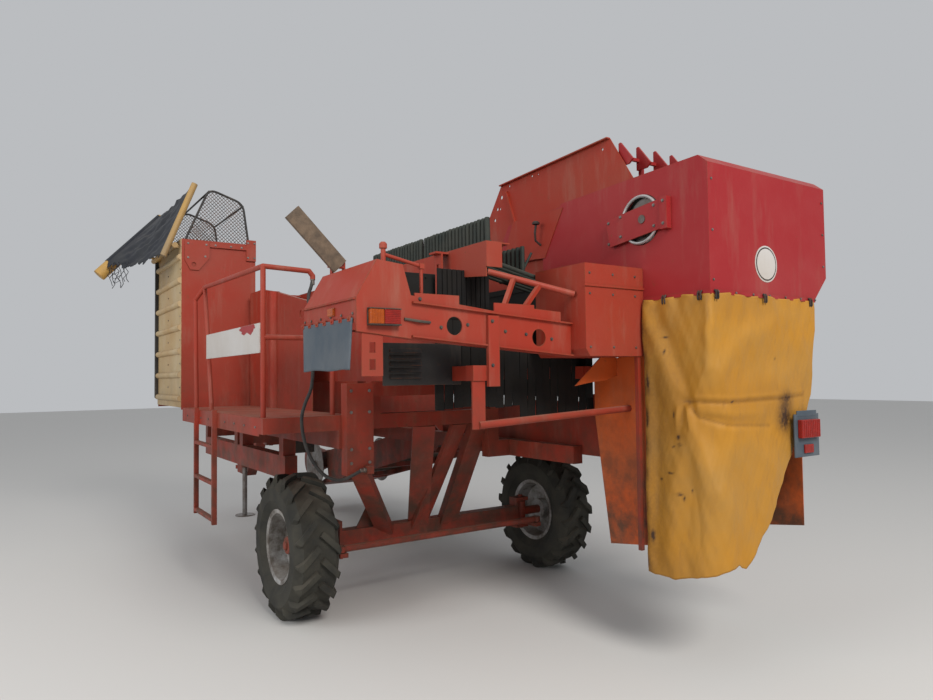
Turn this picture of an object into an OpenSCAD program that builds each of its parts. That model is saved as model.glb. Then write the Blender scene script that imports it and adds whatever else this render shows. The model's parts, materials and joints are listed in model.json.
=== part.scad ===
// Trailed single-row potato harvester with bunker, seen parked on its two wheels and its jack.
// Working directions: +X right, +Y forward, +Z up. Millimetres.
// Every place below is measured from the ground under the middle of the axle.

/* [Wheels and axle] */
// Height of the wheel axis over the ground, half the tyre's diameter
wheel_r = 490; // [440:5:560]
// Width of a tyre
tyre_w = 310; // [250:5:340]
// Height of the tyre's lugs over its carcass
lug_h = 32; // [20:1:40]
// Lugs on each side of a tyre
lug_n = 18; // [14:1:22]
// Length of a lug
lug_l = 184; // [150:2:196]
// Width of a lug
lug_w = 38; // [28:1:46]
// Distance between the two tyres' middles
track_w = 2240; // [2160:10:2360]
// Radius of the rim's flange
rim_r = 255; // [220:5:290]
// Sheet thickness of rim and wheel disc
rim_t = 8; // [5:1:12]
// Height of the axle beam's section
axle_h = 110; // [90:5:140]
// Depth of the axle beam's section
axle_d = 100; // [80:5:130]
// Distance from the kingpin to the tyre's middle
kingpin_offset = 250; // [235:5:280]
// Radius of a kingpin
kingpin_r = 20; // [15:1:26]
// Radius of a stub axle
stub_r = 35; // [28:1:45]
// Radius of the hub that turns on the stub axle
hub_r = 85; // [70:1:100]
// Distance from the axle to the tie rod, behind it
tie_back = 210; // [180:5:240]
// Radius of the tie rod
tie_r = 24; // [16:1:30]

/* [Frame] */
// Width of a frame rail
rail_w = 80; // [60:5:100]
// Height of a frame rail
rail_h = 120; // [100:5:140]
// Underside of the main rails over the ground
rail_z = 1040; // [1020:5:1060]
// Left side of the left rail
rail_left_x = -1000; // [-1040:5:-960]
// Outer side of the right rail
rail_right_x = 1390; // [1380:5:1400]
// Front end of the rails
rail_front_y = 3080; // [3040:10:3200]
// Rear end of the rails
rail_rear_y = -1200; // [-1300:10:-1100]
// Thickness of bent sheet panels
sheet_t = 6; // [3:1:8]
// Thickness of plates that carry load
plate_t = 14; // [10:1:20]
// Underside of the long beams that carry the picking table
upper_z = 1620; // [1600:5:1640]
// Height of the long beams
upper_h = 80; // [60:5:100]
// Width of the long beams
upper_w = 70; // [60:5:90]
// Left side of the left long beam
upper_left_x = -760; // [-770:5:-750]
// Left side of the right long beam
upper_right_x = 230; // [200:5:260]
// Left side of the left leg
leg_x = -980; // [-990:5:-970]
// Width of the left leg
leg_w = 190; // [150:5:200]
// Gap at which loose-laid pieces lie on their seats
seat_gap = 0.3; // [0.1:0.1:0.5]
// Radial running clearance of a pin in its bore
pin_gap = 0.05; // [0.02:0.01:0.09]
// Smallest way between pieces that move past each other
run_gap = 8; // [6:1:12]

/* [Platform] */
// Left edge of the picking platform
deck_x = -1500; // [-1520:5:-1440]
// Top of the platform over the ground
deck_z = 1400; // [1380:5:1440]
// Height of the platform's edge
deck_h = 115; // [90:5:130]
// Front end of the platform's edge
deck_front_y = 1800; // [1200:10:1850]
// Rear edge of the platform
deck_rear_y = -400; // [-420:5:-390]
// Top of the handrail over the ground
handrail_z = 2380; // [2300:10:2450]
// Height of the platform's inner wall over the ground, at its front
side_wall_z = 2450; // [2300:10:2500]
// Underside of the picking table over the ground
table_z = 1900; // [1880:5:1950]
// Height of the picking table
table_h = 100; // [60:5:120]
// Top of the channel that carries the finger combs
comb_top_z = 2400; // [2380:5:2420]
// Length of a finger of the combs
finger_l = 140; // [100:5:180]
// Radius of the handrail's tube
tube_r = 17; // [12:1:22]

/* [Bunker] */
// Rear wall of the bunker
bunker_rear_y = 1890; // [1880:5:1920]
// Length of the bunker along the machine
bunker_l = 1100; // [1000:10:1110]
// Left end of the fixed bunker
bunker_x = -810; // [-850:5:-790]
// Right end of the fixed bunker
bunker_right_x = 1300; // [1200:10:1340]
// Top edge of the fixed bunker over the ground
bunker_top_z = 2450; // [2350:10:2500]
// Underside of the folding unloading section over the ground
unload_z = 1400; // [1380:5:1450]
// Top of the folding unloading section over the ground
unload_top_z = 2930; // [2800:10:3000]
// Height of the unloading section's hinge over the ground
unload_hinge_z = 1300; // [1290:5:1310]
// Place of the unloading section's hinge across the machine
unload_hinge_x = -960; // [-970:5:-950]
// Way from the unloading section's right edge to the fixed bunker
unload_gap = 15; // [12:1:20]
// Top of the mesh guard over the ground
guard_z = 3440; // [3300:10:3500]
// Radius of the mesh guard's frame
guard_r = 10; // [8:1:14]
// Radius of the fall breaker's hinge tube
hinge_tube_r = 25; // [20:1:30]
// Place of the fall breaker's rear pole along the machine
pole_rear_y = 1945; // [1940:1:1960]
// Radius of the fall breaker's rear pole
pole_rear_r = 28; // [22:1:32]
// Place of the fall breaker's front pole along the machine
pole_front_y = 2880; // [2860:5:2890]
// Radius of the fall breaker's front pole
pole_front_r = 60; // [45:1:65]
// Slope of the fall breaker's front pole
pole_front_lean = 47; // [44:0.5:50]
// Leftmost point of the fall breaker
breaker_tip_x = -2100; // [-2160:10:-2040]

/* [Elevator and webs] */
// Left wall of the ring elevator's housing
house_x = 310; // [290:5:330]
// Right wall of the ring elevator's housing
house_right_x = 1450; // [1430:5:1470]
// Rear wall of the housing
house_rear_y = -2400; // [-2450:10:-2350]
// Lower edge of the housing over the ground
house_z = 2070; // [2040:5:2100]
// Top of the housing's rear wall over the ground
house_top_z = 2790; // [2700:10:2850]
// Front wall of the housing
house_front_y = -1020; // [-1040:5:-1000]
// Height at which the housing's front wall starts to slope
house_slope_z = 2470; // [2440:5:2500]
// Left side of the deflector
deflector_x = 330; // [325:1:335]
// Top of the deflector over the ground
deflector_z = 3139; // [3050:5:3200]
// Left wall of the chute box
chute_x = -155; // [-165:5:-145]
// Rear wall of the chute box
chute_rear_y = -1930; // [-1940:5:-1920]
// Front wall of the chute box
chute_front_y = -1500; // [-1510:5:-1490]
// Underside of the chute box over the ground
chute_z = 1750; // [1730:5:1770]
// Top of the chute box over the ground
chute_top_z = 2270; // [2200:5:2300]
// Place of the top roller behind the axle
roller_top_y = -1960; // [-1970:5:-1950]
// Height of the top roller over the ground
roller_top_z = 2555; // [2540:5:2570]
// Thickness of the curtain
curtain_t = 12; // [6:1:16]
// Lowest point of the curtain over the ground
curtain_z = 570; // [520:10:700]
// Left side of the sieving web's trough
web_x = 480; // [470:5:500]
// Right side of the sieving web's trough
web_right_x = 1310; // [1300:2:1310]
// Thickness of a sieving web over its rollers
web_t = 90; // [70:5:110]
// Height of the second web's underside
web_z = 1180; // [1170:5:1200]

/* [Digging unit] */
// Distance from the axle to the digging unit's pivot, forward
dig_pivot_y = 700; // [680:5:740]
// Height of the digging unit's pivot over the ground
dig_pivot_z = 1100; // [1090:5:1110]
// Slope of the digging web, falling forward
dig_tilt = 13; // [11:0.5:13]
// Length of the digging unit from its pivot to the share's tip
dig_l = 3120; // [3000:10:3200]
// Radius of a disc coulter
coulter_r = 280; // [240:5:300]
// Radius of the ridge roller
roller_r = 210; // [180:5:230]
// Distance from the pivot to the coulters' axis, along the unit
coulter_y = 2950; // [2900:10:2980]
// Height of the coulters' axis over the web's middle
coulter_z = 140; // [120:5:160]
// Radius of the pins that carry coulters and roller
coulter_pin_r = 20; // [15:1:25]
// Distance from the pivot to the ridge roller's axis, along the unit
roller_y = 3350; // [3300:10:3400]
// Height of the ridge roller's axis over the web's middle
roller_z = 240; // [200:5:260]
// Radius of the digging unit's pivot pins
dig_pin_r = 25; // [20:1:32]

/* [Drawbar] */
// Distance from the axle to the drawbar's pin, forward
drawbar_pin_y = 3200; // [3160:5:3240]
// Place of the drawbar's pin across the machine
drawbar_x = -250; // [-400:10:-200]
// Front of the drawbar's eye
drawbar_front_y = 4500; // [4400:10:4700]
// Height of the drawbar's eye over the ground
eye_z = 520; // [450:5:600]
// Radius of the hole in the drawbar's eye
eye_hole_r = 25; // [20:1:26]
// Radius of the drawbar's pin
drawbar_pin_r = 25; // [20:1:32]
// Radius of the jack's leg
jack_r = 28; // [22:1:34]
// Distance from the axle to the jack, forward
jack_y = 3850; // [3840:5:3860]
// Radius of the jack's foot
jack_foot_r = 110; // [90:5:140]
// Radius of the hose from the handrail to the left leg
hose_r = 11; // [8:1:13]

/* [Hidden] */
$fn = 48;

RED = "orangered";
mid_x = (breaker_tip_x + house_right_x) / 2;
lamp_back_y = house_rear_y - 80;
mid_y = (lamp_back_y + drawbar_front_y) / 2;
wheel_x = track_w / 2;
kingpin_x = wheel_x - kingpin_offset;
inner_rail_x = web_x - rail_w;
right_rail_x = rail_right_x - rail_w;
rail_top = rail_z + rail_h;
bunker_front_y = bunker_rear_y + bunker_l;
upper_rail_z = deck_z - 220;
cross_z = deck_z - 100;
carcass_r = wheel_r - lug_h;
upper_top = upper_z + upper_h;
table_top = table_z + table_h;
leg_right_x = leg_x + leg_w;
rail_tube_x = deck_x + 2 * tube_r;
rail_tube_z = handrail_z - tube_r;
unload_right_x = bunker_x - unload_gap;
chute_right_x = house_x - seat_gap;
beam_end_x = chute_x - seat_gap;
house_roof_z = house_top_z + 50;
channel_x = -608;

// Moves a piece from the axle's place to the model's own origin, the middle of its box on the ground
module in_frame() translate([-mid_x, -mid_y, 0]) children();

// A block between two opposite corners
module block(a, b) translate(a) cube(b - a);

// A round bar between two points
module rod(a, b, r) {
  d = b - a;
  translate(a) rotate([0, acos(d.z / norm(d)), atan2(d.y, d.x)]) cylinder(r = r, h = norm(d));
}

// A flat bar between two points, w across and h deep
module strut(a, b, w, h) {
  d = b - a;
  translate(a) rotate([0, acos(d.z / norm(d)), atan2(d.y, d.x)]) translate([-h / 2, -w / 2, 0])
    cube([h, w, norm(d)]);
}

// An outline drawn in X and Z, as a plate from y0 forward
module plate_xz(points, y0, t) translate([0, y0 + t, 0]) rotate([90, 0, 0]) linear_extrude(t) polygon(points);

// An outline drawn in Y and Z, as a plate from x0 to the right
module plate_yz(points, x0, t)
  translate([x0, 0, 0]) rotate([90, 0, 90]) linear_extrude(t) polygon(points);

// A cylinder that lies along X or along Y, from one end
module along_x(x0, y, z, r, l) translate([x0, y, z]) rotate([0, 90, 0]) cylinder(r = r, h = l);
module along_y(x, y0, z, r, l) translate([x, y0, z]) rotate([-90, 0, 0]) cylinder(r = r, h = l);

module main_frame_solid() {
  // Lower left rail, upper left rail and the posts between them
  block([rail_left_x, 560, 860], [rail_left_x + 100, rail_front_y, rail_z]);
  block([rail_left_x, -480, upper_rail_z], [rail_left_x + 100, deck_front_y + 60, cross_z]);
  for (y = [600, 1700]) block([rail_left_x, y, rail_z], [rail_left_x + 100, y + 100, upper_rail_z]);
  // Inner and right rails beside the webs
  block([inner_rail_x, rail_rear_y, rail_z], [web_x, rail_front_y, rail_top]);
  block([right_rail_x, rail_rear_y, rail_z], [rail_right_x, rail_front_y, rail_top]);
  // Cross members under the bunker
  for (y = [bunker_rear_y, rail_front_y - rail_w])
    block([rail_left_x, y, rail_z], [rail_right_x, y + rail_w, rail_top]);
  // Cross member over the rear of the axle
  block([deck_x, -480, cross_z], [300, deck_rear_y, deck_z]);
  block([200, -480, rail_top], [300, -400, cross_z]);
  block([200, -480, rail_z], [inner_rail_x, -400, rail_top]);
  // Pins that carry the digging unit
  along_x(web_x, dig_pivot_y, dig_pivot_z, dig_pin_r, 34);
  along_x(right_rail_x - 34, dig_pivot_y, dig_pivot_z, dig_pin_r, 34);
  // Bearings of the unloading section
  for (y = [bunker_rear_y - 22, rail_front_y - rail_w])
    block([rail_left_x, y, rail_z], [-910, y + plate_t, unload_hinge_z + 40]);
  block([rail_left_x, bunker_rear_y - 22, rail_z], [-910, bunker_rear_y, rail_top]);
  along_y(unload_hinge_x, bunker_rear_y - 22, unload_hinge_z, 20, 36);
  along_y(unload_hinge_x, bunker_front_y - 14, unload_hinge_z, 20, 38);
  // Head that holds the drawbar's pin
  block([drawbar_x - 90, rail_front_y, 900], [drawbar_x + 90, rail_front_y + 20, rail_top - 20]);
  for (z = [900, 1080]) block([drawbar_x - 70, rail_front_y, z], [drawbar_x + 70, drawbar_pin_y + 60, z + 20]);
  translate([drawbar_x, drawbar_pin_y, 885]) cylinder(r = drawbar_pin_r, h = 230);
}

module main_frame() in_frame() color(RED) main_frame_solid();

module upper_frame() in_frame() color(RED) {
  // Long beams that carry the picking table and the rear beam
  block([upper_left_x, -1740, upper_z], [upper_left_x + upper_w, bunker_rear_y, upper_top]);
  block([upper_right_x, -1490, upper_z], [upper_right_x + upper_w, bunker_rear_y, upper_top]);
  for (y = [-860, 1100]) block([upper_left_x + upper_w, y, upper_z], [upper_right_x, y + 70, upper_top]);
  // Cross beam on the left leg, and posts on the frame's cross member
  block([leg_right_x, -540, upper_z - 100], [60, -480, upper_z]);
  for (x = [upper_left_x, upper_right_x]) block([x, -480, deck_z], [x + upper_w, -400, upper_z]);
  // Bridges over the webs, on posts that stand on the right rail
  for (y = [-900, 500]) {
    block([right_rail_x + 10, y, rail_top], [rail_right_x - 10, y + 60, 2300]);
    block([deflector_x, y, 2240], [right_rail_x + 10, y + 60, 2300]);
  }
}

module axle_beam_solid() {
  block([-kingpin_x + 80, -axle_d / 2, wheel_r - axle_h / 2],
    [kingpin_x - 80, axle_d / 2, wheel_r + axle_h / 2]);
  for (s = [-1, 1]) scale([s, 1, 1]) {
    block([kingpin_x - 80, -axle_d / 2, wheel_r - 125], [kingpin_x - 60, axle_d / 2, wheel_r + 125]);
    for (z = [-125, 95]) difference() {
      block([kingpin_x - 60, -axle_d / 2, wheel_r + z], [kingpin_x + 45, axle_d / 2, wheel_r + z + 30]);
      translate([kingpin_x, 0, wheel_r + z - 1]) cylinder(r = kingpin_r + pin_gap, h = 32);
    }
  }
}

module axle_beam() in_frame() color(RED) axle_beam_solid();

module axle_legs() in_frame() color("firebrick") difference() {
  union() {
    block([leg_x, -570, 1010], [leg_right_x, -480, upper_z - 10]);
    strut([leg_x + leg_w / 2, -525, 1060], [-430, -20, 500], 120, 60);
    strut([-330, -440, cross_z], [-150, -20, 500], 160, 30);
    strut([-30, -440, cross_z], [-150, -20, 500], 160, 30);
    strut([150, -440, cross_z], [110, -20, 500], 160, 60);
    // Gusset beside the left strut, and the hose's fitting on the leg
    plate_xz([[-700, 500], [-430, 500], [-430, 600], [-560, 740]], -30, 12);
    block([-860, -625, 1022], [-815, -570, 1068]);
  }
  axle_beam_solid();
  main_frame_solid();
  block([-2000, -800, 0], [2000, 600, wheel_r - axle_h / 2]);
}

// Knuckle with kingpin, stub axle and steering arm, for the right side at the origin of its kingpin
module knuckle() {
  translate([0, 0, -140]) cylinder(r = kingpin_r, h = 280);
  translate([0, 0, -95 + run_gap]) cylinder(r = 42, h = 190 - 2 * run_gap);
  rotate([0, 90, 0]) cylinder(r = stub_r, h = kingpin_offset + 20);
  difference() {
    block([-40, -tie_back - 35, -95 + run_gap], [20, 0, -65 + run_gap]);
    translate([0, -tie_back, -100]) cylinder(r = 15 + pin_gap, h = 60);
  }
}

module knuckle_left() in_frame() color("firebrick")
  translate([-kingpin_x, 0, wheel_r]) mirror([1, 0, 0]) knuckle();
module knuckle_right() in_frame() color("firebrick") translate([kingpin_x, 0, wheel_r]) knuckle();

module tie_rod() in_frame() color(RED) translate([0, -tie_back, wheel_r]) {
  eye_z0 = -65 + run_gap + 6;
  for (x = [-kingpin_x, kingpin_x]) {
    translate([x, 0, eye_z0]) cylinder(r = 32, h = 40);
    translate([x, 0, -95]) cylinder(r = 15, h = 50);
  }
  along_x(-kingpin_x + 20, 0, eye_z0 + 20, tie_r, 2 * kingpin_x - 40);
}

// Rim, wheel disc and hub, with the axis along X and the outside towards +X
module rim() rotate([0, 90, 0]) union() {
  rotate_extrude() polygon([[rim_r, -125], [rim_r, -117], [rim_r - 25, -110], [rim_r - 40, 0],
    [rim_r - 25, 110], [rim_r, 117], [rim_r, 125], [rim_r - 30, 118], [rim_r - 40 - rim_t, 10],
    [rim_r - 40 - rim_t, -10], [rim_r - 30, -118]]);
  rotate_extrude() polygon([[stub_r + pin_gap, 0], [140, 0], [200, -20], [rim_r - 44, -6],
    [rim_r - 44, 6], [200, -8], [140, 12], [stub_r + pin_gap, 12]]);
  translate([0, 0, -60]) difference() {
    cylinder(r = hub_r, h = 60);
    translate([0, 0, -1]) cylinder(r = stub_r + pin_gap, h = 62);
  }
  translate([0, 0, 12]) difference() {
    cylinder(r = 60, h = 50);
    translate([0, 0, -1]) cylinder(r = stub_r + pin_gap, h = 40);
  }
}

module tyre() rotate([0, 90, 0]) union() {
  rotate_extrude() polygon([[rim_r + 0.5, -tyre_w / 2 + 35], [rim_r + 60, -tyre_w / 2],
    [carcass_r - 60, -tyre_w / 2], [carcass_r, -tyre_w / 2 + 45], [carcass_r, tyre_w / 2 - 45],
    [carcass_r - 60, tyre_w / 2], [rim_r + 60, tyre_w / 2], [rim_r + 0.5, tyre_w / 2 - 35]]);
  intersection() {
    rotate_extrude() polygon([[carcass_r - 90, -tyre_w / 2 + 5], [carcass_r - 5, -tyre_w / 2 + 5],
      [wheel_r, -tyre_w / 2 + 35], [wheel_r, tyre_w / 2 - 35], [carcass_r - 5, tyre_w / 2 - 5],
      [carcass_r - 90, tyre_w / 2 - 5]]);
    union() for (i = [0:lug_n - 1]) {
      rotate([0, 0, i * 360 / lug_n]) lug();
      rotate([0, 0, (i + 0.5) * 360 / lug_n]) mirror([0, 0, 1]) lug();
    }
  }
}

// One slanting lug, on the side towards +Z of a tyre that lies on its side
module lug() translate([carcass_r - 75, 0, tyre_w / 4]) rotate([-45, 0, 0])
  block([0, -lug_w / 2, -lug_l / 2], [75 + lug_h + 10, lug_w / 2, lug_l / 2]);

module rim_left() in_frame() color("silver") translate([-wheel_x, 0, wheel_r]) mirror([1, 0, 0]) rim();
module rim_right() in_frame() color("silver") translate([wheel_x, 0, wheel_r]) rim();
module tyre_left() in_frame() color("dimgray") translate([-wheel_x, 0, wheel_r]) tyre();
module tyre_right() in_frame() color("dimgray") translate([wheel_x, 0, wheel_r]) tyre();

module platform() in_frame() color(RED) {
  block([deck_x, deck_rear_y, deck_z - 30], [-900, deck_front_y, deck_z]);
  block([deck_x, deck_rear_y, deck_z - deck_h], [deck_x + sheet_t, deck_front_y, deck_z - 30]);
  for (y = [-300, 400, 1100, deck_front_y - 60])
    block([deck_x + sheet_t, y, cross_z], [-900, y + 60, deck_z - 30]);
}

// Tall wall on the platform's inner side, with its rounded post and its round hole
module side_wall() in_frame() color(RED) difference() {
  union() {
    plate_yz([[240, deck_z - 30], [240, side_wall_z - 230], [1130, side_wall_z - 50], [1450, side_wall_z],
      [deck_front_y, side_wall_z], [deck_front_y, deck_z - 30]], -900, sheet_t);
    plate_yz([[240, side_wall_z - 236], [240, side_wall_z - 230], [1130, side_wall_z - 50], [1450, side_wall_z],
      [deck_front_y, side_wall_z], [deck_front_y, side_wall_z - 6], [1450, side_wall_z - 6],
      [1130, side_wall_z - 56]], -894, 30);
    translate([-905, 1085, deck_z]) cylinder(r = 45, h = side_wall_z - 60 - deck_z);
  }
  along_x(-901, 470, 2150, 30, sheet_t + 2);
}

module ladder() in_frame() color(RED) {
  for (y = [610, 1180]) block([deck_x - 35, y, 570], [deck_x - seat_gap, y + 30, deck_z + 20]);
  for (z = [590, 860, 1130]) block([deck_x - 35, 640, z], [deck_x - seat_gap, 1180, z + 25]);
}

module railing() in_frame() color(RED) {
  x = rail_tube_x;
  z = rail_tube_z;
  fx = deck_x - seat_gap - tube_r;
  rod([x, deck_rear_y + 20, deck_z], [x, deck_rear_y + 20, z], tube_r);
  rod([x, 920, deck_z], [x, 920, deck_z + 60], tube_r);
  rod([x, 920, deck_z + 60], [x, 1140, z + 37], tube_r);
  rod([fx, 1195, deck_z + 20], [fx, 1195, deck_z + 90], tube_r);
  rod([fx, 1195, deck_z + 90], [fx, 1240, z - 60], tube_r);
  rod([fx, 1240, z - 60], [x, 1140, z + 37], tube_r);
  rod([x, deck_rear_y + 20, z], [x, 1140, z + 37], tube_r);
  rod([x, deck_rear_y + 20, 1910], [-1000, deck_rear_y + 20, 1910], tube_r);
  rod([x, deck_rear_y + 20, z], [-1160, deck_rear_y + 20, z - 10], tube_r);
  rod([-1160, deck_rear_y + 20, z - 10], [-1135, deck_rear_y + 20, z - 40], tube_r);
  rod([-1135, deck_rear_y + 20, z - 40], [-1135, deck_rear_y + 20, z - 63], tube_r);
  rod([-1000, deck_rear_y + 20, deck_z], [-1000, deck_rear_y + 20, 1910], tube_r);
  for (p = [[x, deck_rear_y + 20, z], [x, 1140, z + 37], [fx, 1240, z - 60], [-1160, deck_rear_y + 20, z - 10],
    [-1135, deck_rear_y + 20, z - 40], [x, 920, deck_z + 60], [fx, 1195, deck_z + 90],
    [-1000, deck_rear_y + 20, 1910]]) translate(p) sphere(r = tube_r);
}

module rail_panel() in_frame() color("white")
  block([rail_tube_x - tube_r - seat_gap - 8, -380, 1810], [rail_tube_x - tube_r - seat_gap, 980, 2000]);

// Beam across the rear, falling to the right, with its two round holes, raised plates and flanges
module rear_beam() in_frame() color(RED) {
  difference() {
    union() {
      plate_xz([[-1480, 1860], [-1480, 2022], [-1373, 2205], [-1234, 2190], [-1190, 2042], [beam_end_x, 1926],
        [beam_end_x, 1750], [-1190, 1830]], -1808, 8);
      plate_xz([[-1170, 2000], [-910, 1980], [-910, 2055], [-1170, 2055]], -1808, 8);
      plate_xz([[-690, 1960], [-230, 1920], [-230, 2000], [-420, 2010], [-420, 2030], [-690, 2030]], -1808, 8);
    }
    for (h = [[-940, 1900], [-390, 1852]]) along_y(h.x, -1810, h.y, 47, 20);
  }
  plate_xz([[-1180, 2033], [beam_end_x, 1918], [beam_end_x, 1926], [-1180, 2041]], -1800, 60);
  plate_xz([[-1190, 1830], [beam_end_x, 1750], [beam_end_x, 1758], [-1190, 1838]], -1800, 60);
  plate_xz([[-1470, 1860], [-1190, 1830], [-1190, 1838], [-1470, 1868]], -1800, 60);
  // Hanging post, its tie to the long beam, and the slotted tab below the hood
  block([-745, -1830, upper_z - 30], [-675, -1808, 1960]);
  block([-830, -1808, upper_z], [-690, -1740, upper_top]);
  difference() {
    block([-1450, -1800, 1650], [-1340, -1792, 1880]);
    for (z = [1680, 1760]) block([-1410, -1801, z], [-1380, -1791, z + 50]);
  }
  // Bent guard that runs to the elevator's casing
  block([-830, -1800, 1370], [-750, -1790, upper_top]);
  rod([-790, -1795, 1390], [315, -1795, 1440], 20);
  // Tube from the combs' channel to the chute box, on two struts
  tube = [-590, -1612, 2229];
  chute = [chute_x - 9.5, -1850, 2100];
  rod(tube, chute, 17);
  strut([-620, -1790, 2000], tube + (chute - tube) * 0.3, 24, 24);
  strut([-500, -1790, 1985], tube + (chute - tube) * 0.6, 24, 24);
}

module hood() in_frame() color(RED) {
  difference() {
    plate_xz([[-1480, 1900], [-1190, 2000], [-1190, 2045], [-1234, 2190], [-1373, 2205], [-1480, 2022]], -1800, 660);
    plate_xz([[-1474, 1800], [-1196, 1800], [-1196, 2044], [-1239, 2184], [-1370, 2199], [-1474, 2020]], -1801, 655);
  }
  block([-1492, -1800, 2010], [-1477, -1140, 2016]);
  // Knob post and its arm, which comes down on the rear beam
  translate([-1320, -1770, 2196]) cylinder(r = 12, h = 74);
  translate([-1320, -1770, 2266]) cylinder(r = 19, h = 22);
  translate([-1320, -1770, 2288]) cylinder(r1 = 19, r2 = 11, h = 9);
  rod([-1320, -1770, 2238], [-1110, -1770, 2195], 9);
  block([-1123, -1783, 2182], [-1097, -1757, 2208]);
  rod([-1110, -1770, 2190], [-1110, -1770, 2042], 9);
  block([-1150, -1784, 2038], [-1080, -1756, 2046]);
  // Levers and the plank's bracket on the roof's front end
  for (x = [-1345, -1275]) block([x, -1203, 2190], [x + 10, -1175, 2285]);
  rod([-1365, -1195, 2255], [-1270, -1195, 2255], 8);
}

module hood_flap() in_frame() color("slategray")
  block([-1492, -1780, 1680], [-1480 - seat_gap, -1150, 1925]);

module lamp_left() in_frame() color("darkorange") block([-1425, -1838, 1890], [-1260, -1808 - seat_gap, 1970]);

module lamp_right() in_frame() color("darkred") {
  block([975, lamp_back_y + 28, 1150], [1225, lamp_back_y + 38, 1400]);
  block([1000, lamp_back_y, 1260], [1200, lamp_back_y + 28, 1370]);
}

module chute_box() in_frame() color(RED) {
  difference() {
    plate_xz([[chute_x, chute_z + 40], [chute_x + 30, chute_z], [chute_right_x, chute_z],
      [chute_right_x, chute_top_z], [chute_x, chute_top_z]], chute_rear_y, chute_front_y - chute_rear_y);
    block([chute_x + sheet_t, chute_rear_y + sheet_t, chute_z + 45],
      [chute_right_x - sheet_t, chute_front_y - sheet_t, chute_top_z + 1]);
  }
  block([chute_x - 8, chute_rear_y - 8, 2140], [chute_right_x, chute_rear_y, 2152]);
  block([262, -1920, 620], [287, -1895, chute_z]);
}

module house_profile(w) {
  y0 = house_rear_y + w;
  polygon([[y0, house_z - (w > 0 ? 1 : 0)], [y0, house_top_z - w / 2], [y0 + 60, house_roof_z - w],
    [house_front_y - 200, house_roof_z - 30 - w], [house_front_y - w, house_slope_z],
    [house_front_y - w, house_z - (w > 0 ? 1 : 0)]]);
}

// Outline of the housing seen from the rear, with its lower right corner cut off
module house_rear(w) plate_xz([[house_x + w, house_z - w], [house_right_x - 150 - w / 2, house_z - w],
  [house_right_x - w, house_z + 160 - w], [house_right_x - w, house_roof_z + 10], [house_x + w, house_roof_z + 10]],
  house_rear_y - 1, house_front_y - house_rear_y + 2);

module elevator_housing() in_frame() color("crimson") {
  house_shell();
  roller_bearings();
  // Side panel before the front wall, and the rim at the bottom
  plate_yz([[house_front_y - 200, house_roof_z - 50], [-630, 2770], [-560, 2670], [-540, house_slope_z],
    [house_front_y, house_slope_z]], house_x, sheet_t);
  block([house_x - 12, house_rear_y - 12, house_z], [house_right_x - 150, house_rear_y, house_z + 25]);
  block([house_x - 12, house_rear_y, house_z], [house_x, chute_rear_y - 20, house_z + 25]);
  // Toothed bar over the roof
  block([deflector_x + sheet_t + 14, -1745, 2990], [house_right_x - 50, -1725, 3010]);
  for (x = [350:158:1400]) plate_yz([[-1720, 2940], [-1720, 3085], [-1735, 3090], [-1835, 2965], [-1800, 2940]], x, 14);
  for (x = [520, 1200]) block([x, -1745, house_roof_z - 25], [x + 30, -1725, 2990]);
}

module house_shell() difference() {
  intersection() {
    translate([house_x, 0, 0]) rotate([90, 0, 90]) linear_extrude(house_right_x - house_x) house_profile(0);
    house_rear(0);
  }
  intersection() {
    translate([house_x + sheet_t, 0, 0]) rotate([90, 0, 90])
      linear_extrude(house_right_x - house_x - 2 * sheet_t) house_profile(sheet_t);
    house_rear(sheet_t);
  }
  along_x(house_x - 1, roller_top_y + 30, roller_top_z + 5, 150, sheet_t + 2);
}

// Bearings of the top roller: a bracket across the round opening, and a boss on the right wall
module roller_bearings() difference() {
  union() {
    plate_yz([[-1660, roller_top_z + 45], [-2100, roller_top_z + 95], [-2120, roller_top_z - 75],
      [-1700, roller_top_z - 125]], house_x - 30, 12);
    block([house_x - 18, -1700, roller_top_z - 90], [house_x, -1680, roller_top_z + 40]);
    block([house_x - 40, -2150, roller_top_z - 85], [house_x, -2100, roller_top_z + 100]);
    along_x(house_right_x - sheet_t - 40, roller_top_y, roller_top_z, 50, 40);
  }
  along_x(house_x - 40, roller_top_y, roller_top_z, 25 + pin_gap, house_right_x - house_x + 34);
}

module elevator_casing() in_frame() color("orangered") {
  x0 = house_x + sheet_t + seat_gap;
  plate_yz([[-2300, 700], [-1620, 600], [-1500, 1400], [-1500, 1700], [-1760, 1760], [-1760, house_z + 300],
    [-2160, house_z + 300], [-2300, house_z - 100]], x0, sheet_t);
  plate_yz([[-2300, 700], [-1620, 600], [-1547, 1090], [-1760, 1090], [-1760, house_z + 300],
    [-2160, house_z + 300], [-2300, house_z - 100]], 1290, sheet_t);
  block([x0, -1766, 1500], [1290, -1760, house_z + 300]);
  plate_yz([[-1630, 604], [-1620, 604], [-1547, 1090], [-1557, 1090]], x0, 1290 - x0);
  // Bracket under the chute box
  plate_xz([[-30, 1580], [180, chute_z - seat_gap], [x0 + 1, chute_z - seat_gap], [x0 + 1, 1640], [230, 1610],
    [100, 1600]], -1700, 8);
  // Post of the right lamp, behind the curtain
  block([1080, house_rear_y + sheet_t + seat_gap, 1250], [1105, house_rear_y + 35, house_z + 100]);
  block([1080, lamp_back_y + 38, 1250], [1105, house_rear_y + 10, 1290]);
}

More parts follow.
